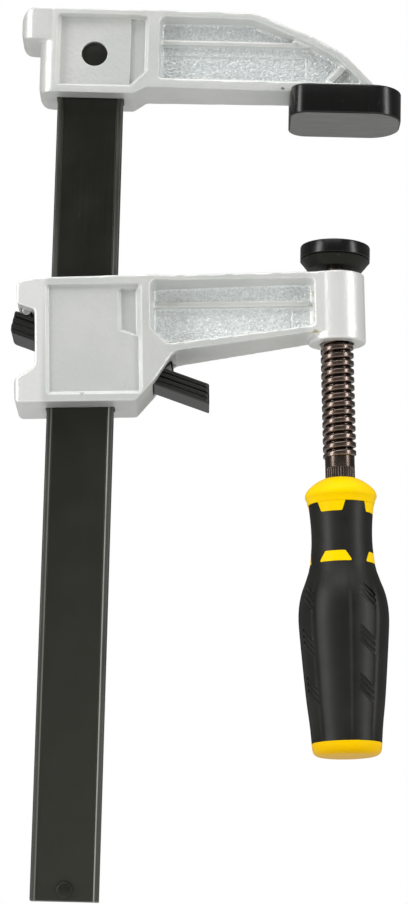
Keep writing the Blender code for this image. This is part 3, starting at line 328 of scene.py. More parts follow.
def yellowPlastic(name):
    # moulded polypropylene with a soft sheen
    finish = Finish(name, (0.9, 0.56, 0.0), Specular_IOR_Level=0.12, Specular_Tint=(1, 0.85, 0.3, 1))
    tone = finish.cloud(11, 2)
    colour = finish.blend(tone, (0.95, 0.58, 0.0, 1), (1.0, 0.68, 0.0, 1))
    # the foot of the grip is painted a little darker
    colour = finish.blend(finish.step(finish.part("Z"), -0.3, -0.309) * 0.9, colour, (0.84, 0.47, 0.0, 1))
    finish.feed("Base Color", colour)
    finish.feed("Roughness", 0.28 + finish.cloud(0.9, 2) * 0.12)
    finish.bump(finish.cloud(1.1, 2), 0.15, 0.1)
    return finish.material


def nylonLiner(name):
    # plain moulded liner round the ball
    finish = Finish(name, (0.55, 0.54, 0.5), Roughness=0.45)
    tone = finish.cloud(3, 2)
    finish.feed("Base Color", finish.blend(tone, (0.5, 0.49, 0.45, 1), (0.6, 0.59, 0.55, 1)))
    finish.bump(finish.cloud(0.5, 2), 0.2, 0.05)
    return finish.material


def vertsOf(made):
    return [item for item in made["geom"] if isinstance(item, bmesh.types.BMVert)]


def shut(bm):
    bmesh.ops.holes_fill(bm, edges=[edge for edge in bm.edges if edge.is_boundary])
    bmesh.ops.recalc_face_normals(bm, faces=bm.faces)
    return bm


def slab(corners, low, high, lying=False, fineness=1.0):
    # a flat outline of (across, along, corner radius), pushed from low to high across Y, or up Z when lying
    bm = bmesh.new()
    points = [Vector((x, z, low)) if lying else Vector((x, low, z)) for x, z, _ in corners]
    verts = [bm.verts.new(point) for point in points]
    face = bm.faces.new(verts)
    push = Vector((0, 0, high - low)) if lying else Vector((0, high - low, 0))
    bmesh.ops.translate(bm, verts=vertsOf(bmesh.ops.extrude_face_region(bm, geom=[face])), vec=push)
    shut(bm)
    fillets = []
    for index, (x, z, radius) in enumerate(corners):
        if radius <= 0:
            continue
        before = Vector(corners[index - 1][:2]) - Vector((x, z))
        after = Vector(corners[(index + 1) % len(corners)][:2]) - Vector((x, z))
        setback = min(radius / math.tan(before.angle(after) / 2), 0.49 * min(before.length, after.length))
        turn = math.pi - before.angle(after)
        segments = max(2, round(turn * math.sqrt(radius) * 3.2 * fineness))
        here = points[index]
        edge = next(
            edge for edge in bm.edges
            if all((vert.co - here).cross(push).length < 1e-4 * push.length for vert in edge.verts)
        )
        fillets.append((edge, setback, segments))
    for edge, setback, segments in fillets:
        bmesh.ops.bevel(
            bm, geom=[edge], offset=setback, offset_type="OFFSET", segments=segments, profile=0.5,
            affect="EDGES", material=-1, clamp_overlap=False,
        )
    return bm


def allOf(bm):
    return bm.verts[:] + bm.edges[:] + bm.faces[:]


def bothSides(bm):
    made = bmesh.ops.duplicate(bm, geom=allOf(bm))
    bmesh.ops.scale(bm, verts=vertsOf(made), vec=(1, -1, 1))
    bmesh.ops.reverse_faces(bm, faces=[item for item in made["geom"] if isinstance(item, bmesh.types.BMFace)])
    return bm


def sunk(corners, face, depth, draft, steepTop=0.0):
    # a mould for a recess in both broad sides, whose walls close in towards its floor
    bm = slab([(x, z, max(r, draft + 0.3)) for x, z, r in corners], -face - 5, -face)
    floor = [item for item in bm.faces if item.normal.y > 0.9]
    bmesh.ops.inset_region(bm, faces=floor, thickness=draft, use_even_offset=True)
    bmesh.ops.translate(bm, verts=floor[0].verts, vec=(0, depth, 0))
    middle = floor[0].calc_center_bounds().z
    upper = [vert for vert in floor[0].verts if vert.co.z > middle]
    bmesh.ops.translate(bm, verts=upper, vec=(0, 0, steepTop))
    bmesh.ops.recalc_face_normals(bm, faces=bm.faces)
    return bothSides(bm)


def block(low, high):
    bm = bmesh.new()
    bmesh.ops.create_cube(bm, size=1)
    size = Vector(high) - Vector(low)
    bmesh.ops.scale(bm, verts=bm.verts, vec=size)
    bmesh.ops.translate(bm, verts=bm.verts, vec=Vector(low) + size / 2)
    return bm


def levelEdges(bm):
    return [edge for edge in bm.edges if abs(edge.verts[0].co.z - edge.verts[1].co.z) < 1e-5]


def rounded(bm, edges, offset, segments):
    bmesh.ops.bevel(
        bm, geom=edges, offset=offset, segments=segments, profile=0.5, affect="EDGES", material=-1,
    )


def rod(radius, length, centre, axis="Z", edge=0.0, segments=64):
    bm = bmesh.new()
    bmesh.ops.create_cone(bm, cap_ends=True, segments=segments, radius1=radius, radius2=radius, depth=length)
    if edge > 0:
        rounded(bm, levelEdges(bm), edge, 3)
    if axis == "Y":
        bmesh.ops.rotate(bm, verts=bm.verts, matrix=Matrix.Rotation(math.pi / 2, 3, "X"))
    bmesh.ops.translate(bm, verts=bm.verts, vec=centre)
    return bm


def turned(profile, steps, closed=False):
    # a profile of (radius, height) spun right round Z
    bm = bmesh.new()
    verts = [bm.verts.new((radius, 0, height)) for radius, height in profile]
    edges = [bm.edges.new(pair) for pair in zip(verts, verts[1:])]
    if closed:
        edges.append(bm.edges.new((verts[-1], verts[0])))
    bmesh.ops.spin(
        bm, geom=verts + edges, cent=(0, 0, 0), axis=(0, 0, 1), angle=math.tau, steps=steps, use_merge=True,
        use_duplicate=False,
    )
    bmesh.ops.remove_doubles(bm, verts=bm.verts, dist=1e-4)
    return shut(bm)


def placed(bm, matrix):
    bmesh.ops.transform(bm, verts=bm.verts, matrix=matrix)
    return bm


def meshOf(name, bm):
    mesh = bpy.data.meshes.new(name)
    bm.to_mesh(mesh)
    bm.free()
    return mesh


def linked(name, data):
    obj = bpy.data.objects.new(name, data)
    bpy.context.scene.collection.objects.link(obj)
    return obj


def added(bm, *others):
    for other in others:
        mesh = meshOf("shape", other)
        bm.from_mesh(mesh)
        bpy.data.meshes.remove(mesh)
    return bm


def worked(blank, *others):
    # what the modifiers make of the blank, as a new mesh to work on
    bpy.context.view_layer.update()
    graph = bpy.context.evaluated_depsgraph_get()
    mesh = bpy.data.meshes.new_from_object(blank.evaluated_get(graph))
    bm = bmesh.new()
    bm.from_mesh(mesh)
    bpy.data.meshes.remove(mesh)
    for obj in (blank, *others):
        bpy.data.objects.remove(obj)
    return bm


def cut(bm, *steps, solver="EXACT"):
    # each step is an operation and a shape: DIFFERENCE, UNION or INTERSECT
    blank = linked("blank", meshOf("blank", bm))
    tools = []
    for operation, shape in steps:
        tool = linked("tool", meshOf("tool", shape))
        modifier = blank.modifiers.new("cut", "BOOLEAN")
        modifier.operation = operation
        modifier.object = tool
        modifier.solver = solver
        tools.append(tool)
    return worked(blank, *tools)


def cast(bm, size):
    # softens every edge, as sand and moulds do
    blank = linked("blank", meshOf("blank", bm))
    remesh = blank.modifiers.new("even skin", "REMESH")
    remesh.mode = "VOXEL"
    remesh.voxel_size = size["grain"]
    smooth = blank.modifiers.new("soft edges", "SMOOTH")
    smooth.factor = 0.5
    smooth.iterations = size["passes"]
    return worked(blank)


def finished(name, bm, look, body, node, sharp=32, place=None):
    # brings a piece to metres, gives it its look, and smooths all but its sharp edges
    if place:
        placed(bm, place)
    bmesh.ops.scale(bm, verts=bm.verts, vec=(0.001, 0.001, 0.001))
    for face in bm.faces:
        face.smooth = True
    mesh = meshOf(name, bm)
    mesh.set_sharp_from_angle(angle=math.radians(sharp))
    mesh.materials.append(looks[look])
    obj = linked(name, mesh)
    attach(obj, body)
    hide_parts(node)
    print(f"{name}: {sum(len(face.vertices) - 2 for face in mesh.polygons)} triangles")
    return obj


bar = {
    "centre": -124.9, "halfWidth": 16.0, "halfThickness": 5.3, "edgeStrip": 2.5, "grooveDepth": 0.8,
    "grooveSlope": 0.6, "foot": -380.2, "top": 45.5, "corner": 1.2, "soft": 0.35, "endSoft": 0.3,
    "stopLevel": -375.2, "stopRing": (3.95, 1.3), "stop": (3.6, 13.8), "stopEdge": 0.55,
    "pinPlace": (-123.3, 0, 30.3), "pinHole": (6.3, 20), "pin": (6.0, 17.8), "pinEdge": 0.5,
}


def makeBar():
    half, thick = bar["halfWidth"], bar["halfThickness"]
    inner = half - bar["edgeStrip"]
    floor, level = inner - bar["grooveSlope"], thick - bar["grooveDepth"]
    soft, corner = bar["soft"], bar["corner"]
    side = [(half, -thick, corner), (half, thick, corner), (inner, thick, soft), (floor, level, soft)]
    section = side + [(-x, y, r) for x, y, r in side[:1:-1]] + [(-x, -y, r) for x, y, r in side]
    section += [(x, -y, r) for x, y, r in side[:1:-1]]
    section = [(x + bar["centre"], y, r) for x, y, r in section]
    bm = slab(section, bar["foot"], bar["top"], lying=True, fineness=1.4)
    end = [edge for edge in bm.edges if all(vert.co.z < bar["foot"] + 0.01 for vert in edge.verts)]
    rounded(bm, end, bar["endSoft"], 2)
    # only a shallow ring is cut round the stop
    rings = [rod(*bar["stopRing"], (bar["centre"], side * thick, bar["stopLevel"]), "Y") for side in (-1, 1)]
    hole = rod(*bar["pinHole"], bar["pinPlace"], "Y")
    bm = cut(bm, *(("DIFFERENCE", shape) for shape in (*rings, hole)))
    finished("barRail", bm, "bar", "bar", "bar_rail", 25)
    stop = rod(*bar["stop"], (bar["centre"], 0, bar["stopLevel"]), "Y", bar["stopEdge"])
    finished("endStop", stop, "stop", "bar", "end_stop")
    pin = rod(*bar["pin"], bar["pinPlace"], "Y", bar["pinEdge"])
    finished("jawPin", pin, "pin", "bar", "jaw_pin")


fixedJaw = {
    # an outline with where it starts and ends, or a pocket with its face, depth, draft and steeper top
    "outline": ([
        (-149.9, 52.4, 3.5), (-103.7, 52.4, 0), (-97.7, 53.0, 0), (-45.5, 53.0, 12), (-16.5, 41.6, 60),
        (-1.5, 33.6, 30), (16.5, 15.0, 1), (16.5, 13.1, 0), (-97.7, 13.1, 3.5), (-103.7, 9.2, 3.5),
        (-149.9, 9.2, 3.5),
    ], -15, 15),
    "plan": [(-149.9, 14.5, 8), (-103.7, 14.5, 3.5), (-97.7, 13.4, 3.5), (16.5, 10.3, 0)],
    "lugFront": (
        [(-159.2, 52.4, 9.5), (-145.4, 52.4, 0), (-145.4, 36.3, 0), (-159.2, 36.3, 3.5)], -14.5, 14.5,
    ),
    "lugPlan": (
        [(-159.2, -14.5, 12.5), (-145.4, -14.5, 0), (-145.4, 14.5, 0), (-159.2, 14.5, 12.5)], 20, 60, True,
    ),
    "armPocket": ([
        (-91.9, 17.6, 2), (9.4, 17.6, 1), (-3.45, 31.0, 24), (-17.84, 38.7, 50), (-46.1, 49.8, 9),
        (-91.9, 49.8, 3),
    ], 14.0, 9.0, 1.5),
    "rib": ([(-95, 36.9, 0), (-14, 36.9, 0), (-18, 39.6, 0), (-95, 39.6, 0)], -7.7, 7.7),
    "brace": ([(2.3, 28.3, 0), (-0.3, 30.3, 0), (-13.9, 16.2, 0), (-11.5, 13.8, 0)], -8.3, 8.3),
    "label": ([(-90.0, 20.2, 1), (-19.4, 20.2, 1), (-19.4, 32.2, 1), (-90.0, 32.2, 1)], 5.0, 0.7, 0.5),
    "headPocket": ([
        (-141.9, 12.6, 2.2), (-104.9, 12.6, 2), (-96.6, 20.9, 2), (-96.6, 49.4, 2.4), (-141.9, 49.4, 2.2),
    ], 14.5, 4.0, 1.8, 1.4),
    "headStrip": ([
        (-105.8, 14.9, 0.4), (-105.5, 14.9, 0.2), (-98.7, 21.7, 2), (-98.7, 48.6, 2.2), (-105.8, 48.6, 0.4),
    ], -15.5, -9.2),
    "footInset": 3.3, "footTop": 12.8, "footNeck": ((-16, -7, 11), (13, 7, 15)),
    "bore": (6.35, 40), "socketFoot": -4, "slack": 0.3, "grain": 0.62, "passes": 2,
}


fixedPad = {
    "half": 27.25, "deep": 19.5, "heel": 9, "toe": 15, "tall": 14.9, "wall": 3, "rim": 0.9,
    "notch": ((-32, -13.4, 12.8), (-15.2, 13.4, 20)),
}


def padPlan(margin):
    half, deep = fixedPad["half"] - margin, fixedPad["deep"] - margin
    heel, toe = fixedPad["heel"] - margin, fixedPad["toe"] - margin
    return [(-half, -deep, heel), (half, -deep, toe), (half, deep, toe), (-half, deep, heel)]


def makeFixedJaw():
    size = fixedJaw
    plan = [(x, -y, r) for x, y, r in size["plan"]] + size["plan"][::-1]
    inset, top = size["footInset"], size["footTop"]
    lug = cut(slab(*size["lugFront"]), ("INTERSECT", slab(*size["lugPlan"])))
    # the foot inside the pad
    trim = slab([(-40, inset, 0), (40, inset, 0), (40, top, 0), (-40, top, 0)], -25, 25)
    foot = cut(slab(padPlan(inset), inset, 15, lying=True), ("INTERSECT", trim))
    bm = cut(
        slab(*size["outline"]),
        ("INTERSECT", slab(plan, 0, 60, lying=True)),
        ("UNION", lug), ("UNION", foot), ("UNION", block(*size["footNeck"])),
        ("DIFFERENCE", sunk(*size["armPocket"])),
        ("UNION", slab(*size["rib"])),
        ("UNION", slab(*size["brace"])),
        solver="MANIFOLD",
    )
    bm = cast(bm, size)
    slack, centre = size["slack"], bar["centre"]
    half, deep = bar["halfWidth"] + slack, bar["halfThickness"] + slack
    socket = block((centre - half, -deep, size["socketFoot"]), (centre + half, deep, bar["top"] + slack))
    bore = rod(*size["bore"], bar["pinPlace"], "Y", segments=96)
    bm = cut(
        bm,
        ("DIFFERENCE", sunk(*size["headPocket"])),
        ("DIFFERENCE", bothSides(slab(*size["headStrip"]))),
        ("DIFFERENCE", sunk(*size["label"])),
        ("DIFFERENCE", socket), ("DIFFERENCE", bore), solver="MANIFOLD",
    )
    finished("fixedJaw", bm, "fixedCasting", "bar", "fixed_jaw", 48)


def makeFixedPad():
    size = fixedPad
    bm = slab(padPlan(0), 0, size["tall"], lying=True, fineness=2)
    rounded(bm, levelEdges(bm), size["rim"], 4)
    hollow = slab(padPlan(size["wall"]), size["wall"], 20, lying=True)
    bm = cut(bm, ("DIFFERENCE", hollow), ("DIFFERENCE", block(*size["notch"])))
    finished("fixedPad", bm, "pad", "bar", "fixed_pad", 40)


slidingJaw = {
    "outline": ([
        (-30.95, 27.9, 3.5), (-22.2, 29.9, 7), (33.1, 30.7, 0), (122.8, 33.1, 0), (122.8, 4.4, 0),
        (44.0, -6.8, 6), (35.4, -20.3, 18), (25.5, -31.3, 1.75), (-32.1, -31.3, 2.6), (-32.2, -20.1, 1.75),
        (-22.2, -13.9, 3.5), (-22.2, 14.0, 1), (-30.53, 17.2, 1),
    ], -20, 20),
    "plan": [(-32.2, 19, 2.8), (33.1, 19, 3.5), (44.0, 16.4, 3.5), (126.8, 12, 0)],
    "pocket": ([
        (33.1, 4.3, 2.2), (40.5, -3.1, 4.4), (112.6, 5.65, 1), (112.6, 30.0, 1.5), (33.1, 28.1, 3),
    ], 16.0, 11.0, 1.8),
    "rib": ([(30, 16.8, 0), (109.5, 16.8, 1), (109.5, 19.5, 1), (30, 19.5, 0)], -8.2, 8.2),
    "label": ([(35.2, 5.1, 0.6), (101.4, 5.1, 0.6), (101.4, 14.1, 0.6), (35.2, 14.1, 0.6)], 5.0, 0.6, 0.4),
    "panel": (
        [(-17.0, -27.8, 1.2), (29.0, -27.8, 1.2), (29.0, 26.2, 1.2), (-17.0, 26.2, 1.2)], 19.0, 2.0, 1.6, 1.2,
    ),
    "notch": (
        [(17.6, 3.7, 0.8), (27.6, 0.2, 1), (27.6, 24.6, 0.8), (17.6, 24.6, 0.8)], 17.0, 2.4, 1.4, 1.0,
    ),
    "leverSlot": ([
        (-13.9, -14.0, 0), (98.1, -13.4, 0), (98.1, 6.75, 0), (0, -1.8, 0), (-13.9, -1.8, 0),
    ], -12.1, 12.1),
    "channel": (-160, -70), "sideSlack": 0.4, "faceSlack": 0.6, "boss": (14.0, 33.7, (122.8, 0, 16.25)),
    "screwBore": (8.3, 50, (0, 0, 16)), "pivotBore": (2.4, 23, (0, 0, 0)), "grain": 0.62, "passes": 2,
}


def makeSlidingJaw():
    size = slidingJaw
    plan = [(x, -y, r) for x, y, r in size["plan"]] + size["plan"][::-1]
    bm = cut(
        slab(*size["outline"]),
        ("INTERSECT", slab(plan, -40, 40, lying=True)),
        ("UNION", rod(*size["boss"], segments=128)),
        ("DIFFERENCE", sunk(*size["pocket"])),
        ("UNION", slab(*size["rib"])),
        solver="MANIFOLD",
    )
    bm = placed(cast(bm, size), jawPlace)
    half, deep = bar["halfWidth"] + size["sideSlack"], bar["halfThickness"] + size["faceSlack"]
    foot, top = size["channel"]
    channel = block((bar["centre"] - half, -deep, foot), (bar["centre"] + half, deep, top))
    bm = cut(
        bm,
        ("DIFFERENCE", placed(sunk(*size["panel"]), jawPlace)),
        ("DIFFERENCE", placed(sunk(*size["notch"]), jawPlace)),
        ("DIFFERENCE", placed(sunk(*size["label"]), jawPlace)),
        ("DIFFERENCE", channel),
        ("DIFFERENCE", placed(slab(*size["leverSlot"]), leverPlace)),
        ("DIFFERENCE", placed(rod(*size["screwBore"]), spindlePlace)),
        ("DIFFERENCE", placed(rod(*size["pivotBore"], "Y", segments=32), leverPlace)),
        solver="MANIFOLD",
    )
    finished("slidingJaw", bm, "slidingCasting", "slider", "sliding_jaw", 48)


grips = {
    "depth": 11.5, "ridges": 4, "groove": 1.5, "leftHeight": 10.4, "rightHeight": 9.4, "offset": -7.6,
    "rightDrop": 0.5, "leftHump": 0.9, "leftEnd": 8.7, "leftHollow": ((1.7, -6.3, -10.4), (12, 6.3, -4.8)),
    "rightStart": 65.8, "rightEnd": 96.4, "rightHollow": ((60, -6.3, -10.4), (72.8, 6.3, -4.8)),
    "rightRound": 2.4, "rake": 0.38, "rakeFrom": 74, "rakeOver": 14, "grain": 0.3, "passes": 3,
}


def ridged(height, middle, left, right):
    # a bar along X whose two broad sides carry rounded ridges
    pitch = height / grips["ridges"]
    deep = grips["depth"]
    front = []
    for index in range(grips["ridges"]):
        level = middle - height / 2 + index * pitch
        front += [(-deep + grips["groove"], level, 0.1), (-deep, level + 0.22 * pitch, 0.45)]
        front += [(-deep, level + 0.78 * pitch, 0.45)]
    front += [(-deep + grips["groove"], middle + height / 2, 0.1)]
    section = front + [(-y, level, r) for y, level, r in front[::-1]]
    turn = Matrix(((0, 0, 1, 0), (1, 0, 0, 0), (0, 1, 0, 0), (0, 0, 0, 1)))
    return placed(slab(section, left, right, lying=True), turn)


def makeLever():
    size = grips
    low, high = size["offset"] - size["leftHeight"] / 2, size["offset"] + size["leftHeight"] / 2
    hump, end = high + size["leftHump"], size["leftEnd"]
    outline = [
        (-3.85, low, 2.8), (end, low, 0), (end, high, 0), (-0.5, high, 1.5), (-2.6, hump, 1.5),
        (-5.2, hump, 1.5),
    ]
    bm = cut(
        ridged(size["leftHeight"] + 2 * size["leftHump"], size["offset"], -8, end),
        ("INTERSECT", slab(outline, -14, 14)),
        ("DIFFERENCE", block(*size["leftHollow"])),
    )
    bm = cast(bm, size)
    finished("leverTipLeft", bm, "lever", "brake_lever", "lever_grip_left", 40, leverPlace)
    middle = size["offset"] - size["rightDrop"]
    start, end, deep, turn = size["rightStart"], size["rightEnd"], size["depth"], size["rightRound"]
    plan = [(start, -deep, 0), (end, -deep, turn), (end, deep, turn), (start, deep, 0)]
    bm = cut(
        ridged(size["rightHeight"], middle, start, end + 3),
        ("INTERSECT", slab(plan, -20, 10, lying=True)),
        ("DIFFERENCE", block(*size["rightHollow"])),
    )
    bm = cast(bm, size)
    for vert in bm.verts:
        # the outer end is raked
        share = min(max((vert.co.x - size["rakeFrom"]) / size["rakeOver"], 0), 1)
        vert.co.x -= (vert.co.z - middle) * size["rake"] * share
    finished("leverTipRight", bm, "lever", "brake_lever", "lever_grip_right", 40, leverPlace)


spring = {
    "wire": 0.5, "station": 73.0, "spread": 2.7, "foot": 6.0, "top": -2.2, "rise": 5.0, "squeezed": 0.06,
    "grain": 0.13, "passes": 2,
}


def makeSpring():
    # a wire bent to a peak under the jaw, its two feet turned along the top of the right-hand grip
    size = spring
    middle, spread, top = size["station"], size["spread"], size["top"]
    route = [
        Vector((middle - spread, size["foot"], top)), Vector((middle - spread, 0, top)),
        Vector((middle, 0, top + size["rise"])), Vector((middle + spread, 0, top)),
        Vector((middle + spread, size["foot"], top)),
    ]
    bm = bmesh.new()
    for start, end in zip(route, route[1:]):
        way = end - start
        piece = rod(size["wire"], way.length, (0, 0, 0), segments=20)
        turn = way.to_track_quat("Z", "Y").to_matrix().to_4x4()
        added(bm, placed(piece, Matrix.Translation((start + end) / 2) @ turn))
    for bend in route[1:-1]:
        bmesh.ops.create_icosphere(bm, subdivisions=3, radius=size["wire"], matrix=Matrix.Translation(bend))
    bm = cast(bm, size)
    obj = finished("brakeSpring", bm, "wire", "slider", "brake_spring", 60, leverPlace)
    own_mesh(obj)


spindle = {
    "pitch": 4.0, "root": 6.5, "crest": 8.0, "flank": 0.55, "head": 33.9, "foot": -56.6, "steps": 40,
    "neck": 7.1, "neckFoot": -107.2, "splines": 40, "splineLevels": (-62.2, -61.6), "splineRoot": 0.93,
    "ball": 5.0, "ballCentre": 39.5, "ballFoot": 0.6, "tipNeck": 4.0, "tipNeckTop": 34.8,
}


def makeSpindle():
    size = spindle
    pitch, root, crest = size["pitch"], size["root"], size["crest"]
    slope = size["flank"]
    tooth = [
        (root, 0.0), (root, 0.34), (root + 0.18, 0.52), (crest - 0.3, 0.52 + slope), (crest - 0.07, 1.28),
        (crest, 1.6), (crest, 2.9), (crest - 0.07, 3.22), (crest - 0.3, 3.98 - slope), (root + 0.18, 3.98),
        (root, pitch),
    ]
    bm = bmesh.new()
    start = size["foot"] - 3 * pitch
    verts = [bm.verts.new((radius, 0, start + height)) for radius, height in tooth]
    edges = [bm.edges.new(pair) for pair in zip(verts, verts[1:])]
    turns = math.ceil((size["head"] - start) / pitch) + 2
    steps = size["steps"]
    bmesh.ops.spin(
        bm, geom=verts + edges, cent=(0, 0, 0), axis=(0, 0, 1), dvec=(0, 0, pitch / steps),
        angle=math.tau * turns, steps=steps * turns, use_merge=False, use_duplicate=False,
    )
    bmesh.ops.remove_doubles(bm, verts=bm.verts, dist=1e-3)
    for level, clearUp in ((size["head"], True), (size["foot"], False)):
        bmesh.ops.bisect_plane(
            bm, geom=allOf(bm), dist=1e-5, plane_co=(0, 0, level), plane_no=(0, 0, 1), clear_outer=clearUp,
            clear_inner=not clearUp,
        )
    shut(bm)
    tall = size["foot"] - size["neckFoot"] + 2
    middle = (size["foot"] + 2 + size["neckFoot"]) / 2
    neck = rod(size["neck"], tall, (0, 0, middle), segments=2 * size["splines"])
    # the neck's foot is splined where it is pressed into the handle
    lower, upper = size["splineLevels"]
    for level in (lower, upper):
        bmesh.ops.bisect_plane(neck, geom=allOf(neck), plane_co=(0, 0, level), plane_no=(0, 0, 1))
    for vert in neck.verts:
        turn = round(math.atan2(vert.co.y, vert.co.x) / math.tau * 2 * size["splines"])
        if vert.co.z < (lower + upper) / 2 and turn % 2 and vert.co.xy.length > 1:
            vert.co.xy *= size["splineRoot"]
    centre, radius = size["ballCentre"], size["ball"]
    ball = [(0, centre + radius)]
    for step in range(1, 13):
        angle = math.pi / 2 - step / 12 * (math.pi / 2 + math.asin(size["ballFoot"]))
        ball.append((radius * math.cos(angle), centre + radius * math.sin(angle)))
    sunken = size["head"] - 0.2
    ball += [(size["tipNeck"], size["tipNeckTop"]), (size["tipNeck"] + 0.6, sunken), (0, sunken)]
    added(bm, neck, turned(ball, 48))
    finished("spindleScrew", bm, "spindle", "screw", "spindle", 42, spindlePlace)


swivel = {
    "rim": 16.9, "foot": 13.1, "capWall": 1.9, "capTop": 8.5, "brim": 1.7, "edge": 0.7, "socket": 6.4,
    "discFoot": -3.3, "discTop": 7.0, "capUnder": 7.3, "steps": 112,
}


def makeSwivelPad():
    size = swivel
    rim, brim, core = size["rim"], size["brim"], size["rim"] - size["capWall"] - 0.3
    hollow, low, high = size["socket"], size["discFoot"], size["discTop"]
    start = math.asin(low / hollow)
    angles = [start + k / 12 * (math.pi / 2 - start) for k in range(12)]
    disc = [(0, high), (core, high), (core, brim), (rim - 0.5, brim), (rim, brim - 0.5)]
    disc += [(size["foot"] + 0.5, low + 0.3), (size["foot"], low)]
    disc += [(hollow * math.cos(angle), hollow * math.sin(angle)) for angle in angles] + [(0, hollow)]
    bm = turned(disc, size["steps"])
    finished("swivelDisc", bm, "disc", "pad", "swivel_pad", 30, ballPlace)
    top, edge, lip, under = size["capTop"], size["edge"], brim + 0.3, size["capUnder"]
    cap = [(0, top), (rim - edge, top), (rim - 0.3 * edge, top - 0.3 * edge), (rim, top - edge)]
    cap += [(rim, lip + 0.3), (rim - 0.3, lip), (core + 0.3, lip), (core + 0.3, under), (0, under)]
    bm = turned(cap, size["steps"])
    finished("swivelCap", bm, "pad", "pad", "swivel_pad_cap", 30, ballPlace)


handle = {
    "top": -67.2, "length": 132.6, "belly": 21.6, "wall": 2.4, "panels": 4, "phase": -19,
    "tabPhase": -21.5, "windowPhase": -16, "bore": 7.4, "boreDepth": 40.3, "steps": 144, "sleeveSteps": 160,
    "collar": [
        (0, 0.36), (0.002, 0.41), (0.014, 0.545), (0.03, 0.675), (0.046, 0.762), (0.058, 0.792),
        (0.068, 0.797), (0.077, 0.765),
    ],
    "sleeve": [
        (0.1, 0.722), (0.125, 0.7), (0.162, 0.681), (0.194, 0.671), (0.238, 0.671), (0.282, 0.694),
        (0.326, 0.727), (0.37, 0.815), (0.414, 0.921), (0.457, 0.977), (0.501, 0.998), (0.545, 0.988),
        (0.631, 0.949), (0.718, 0.907), (0.805, 0.861), (0.891, 0.796), (0.949, 0.77),
    ],
    "foot": [
        (0.96, 0.766), (0.967, 0.763), (0.974, 0.757), (0.981, 0.748), (0.987, 0.733), (0.993, 0.7),
        (0.998, 0.64), (1, 0.56),
    ],
    "collarShare": 0.0965, "capShare": 0.954, "windowShare": 0.2768, "windowHeight": 5.0, "gap": 0.12,
    "tab": (8.3, 5.2, 4.8), "window": (4.9, 8.0), "wedge": (-26, -8),
    "slashZones": (31, -59), "slashLevels": (0.435, 0.605, 0.775), "slashPitch": 2.9, "slashLength": 12.0,
    "slashWidth": 2.1, "slashSlant": -49, "creaseIn": (0.33, 0.12), "creaseOut": (0.965, 0.05),
    "crease": (26, 2.4, 0.02), "sideSink": 0.016,
}


def softened(points, rounds):
    # a smoother line through the same profile
    for _ in range(rounds):
        fuller = [points[0]]
        for (ra, za), (rb, zb) in zip(points, points[1:]):
            fuller.append((0.75 * ra + 0.25 * rb, 0.75 * za + 0.25 * zb))
            fuller.append((0.25 * ra + 0.75 * rb, 0.25 * za + 0.75 * zb))
        points = fuller + [points[-1]]
    return points


def heightAt(share):
    # down the handle by a share of its length
    return handle["top"] - share * handle["length"]


def handleLine(name, rounds=1):
    line = [(share * handle["belly"], heightAt(place)) for place, share in handle[name]]
    return softened(line, rounds)


def tapering(top, upper, foot, lower, corner):
    return [(-upper, top, corner), (upper, top, corner), (lower, foot, 0.6), (-lower, foot, 0.6)]


def handleWedges(gap):
    # the collar's four tabs and the four windows, as wedges pushed out from the axis
    size = handle
    collarFoot, windowTop = heightAt(size["collarShare"]), heightAt(size["windowShare"])
    wide, narrow, drop = size["tab"]
    tab = tapering(collarFoot + 4, wide + gap, collarFoot - drop - gap, narrow + gap, 0)
    upper, lower = size["window"]
    foot = windowTop - size["windowHeight"] - gap
    window = tapering(windowTop + gap, upper + gap, foot, lower + gap, 0.6)
    bm = bmesh.new()
    for index in range(size["panels"]):
        for shape, phase in ((tab, "tabPhase"), (window, "windowPhase")):
            turn = Matrix.Rotation(math.radians(size[phase] + 90 * index), 4, "Z")
            added(bm, placed(slab(shape, *size["wedge"]), turn))
    return bm


def radiusAt(line, height):
    # how far out the profile runs at this height
    for (ra, za), (rb, zb) in zip(line, line[1:]):
        if zb <= height <= za:
            return ra + (rb - ra) * (za - height) / (za - zb)


def slashes():
    # three slanting grooves in each group, three groups down each ribbed side
    size = handle
    bm = bmesh.new()
    line = handleLine("sleeve", 2)
    slant = Matrix.Rotation(math.radians(size["slashSlant"]), 3, "Y")
    for zone in [angle + 90 * turn for angle in size["slashZones"] for turn in range(4)]:
        for level in size["slashLevels"]:
            for index in (-1, 0, 1):
                height = heightAt(level) + index * size["slashPitch"]
                radius = radiusAt(line, height)
                groove = rod(size["slashWidth"] / 2, size["slashLength"], (0, 0, 0), edge=0.25, segments=10)
                bmesh.ops.rotate(groove, verts=groove.verts, matrix=slant)
                for vert in groove.verts:
                    # bent to lie in the round of the sleeve
                    vert.co.y -= radius + 0.25 - vert.co.x ** 2 / (2 * radius)
                place = Matrix.Rotation(math.radians(zone), 4, "Z") @ Matrix.Translation((0, 0, height))
                added(bm, placed(groove, place))
    return bm


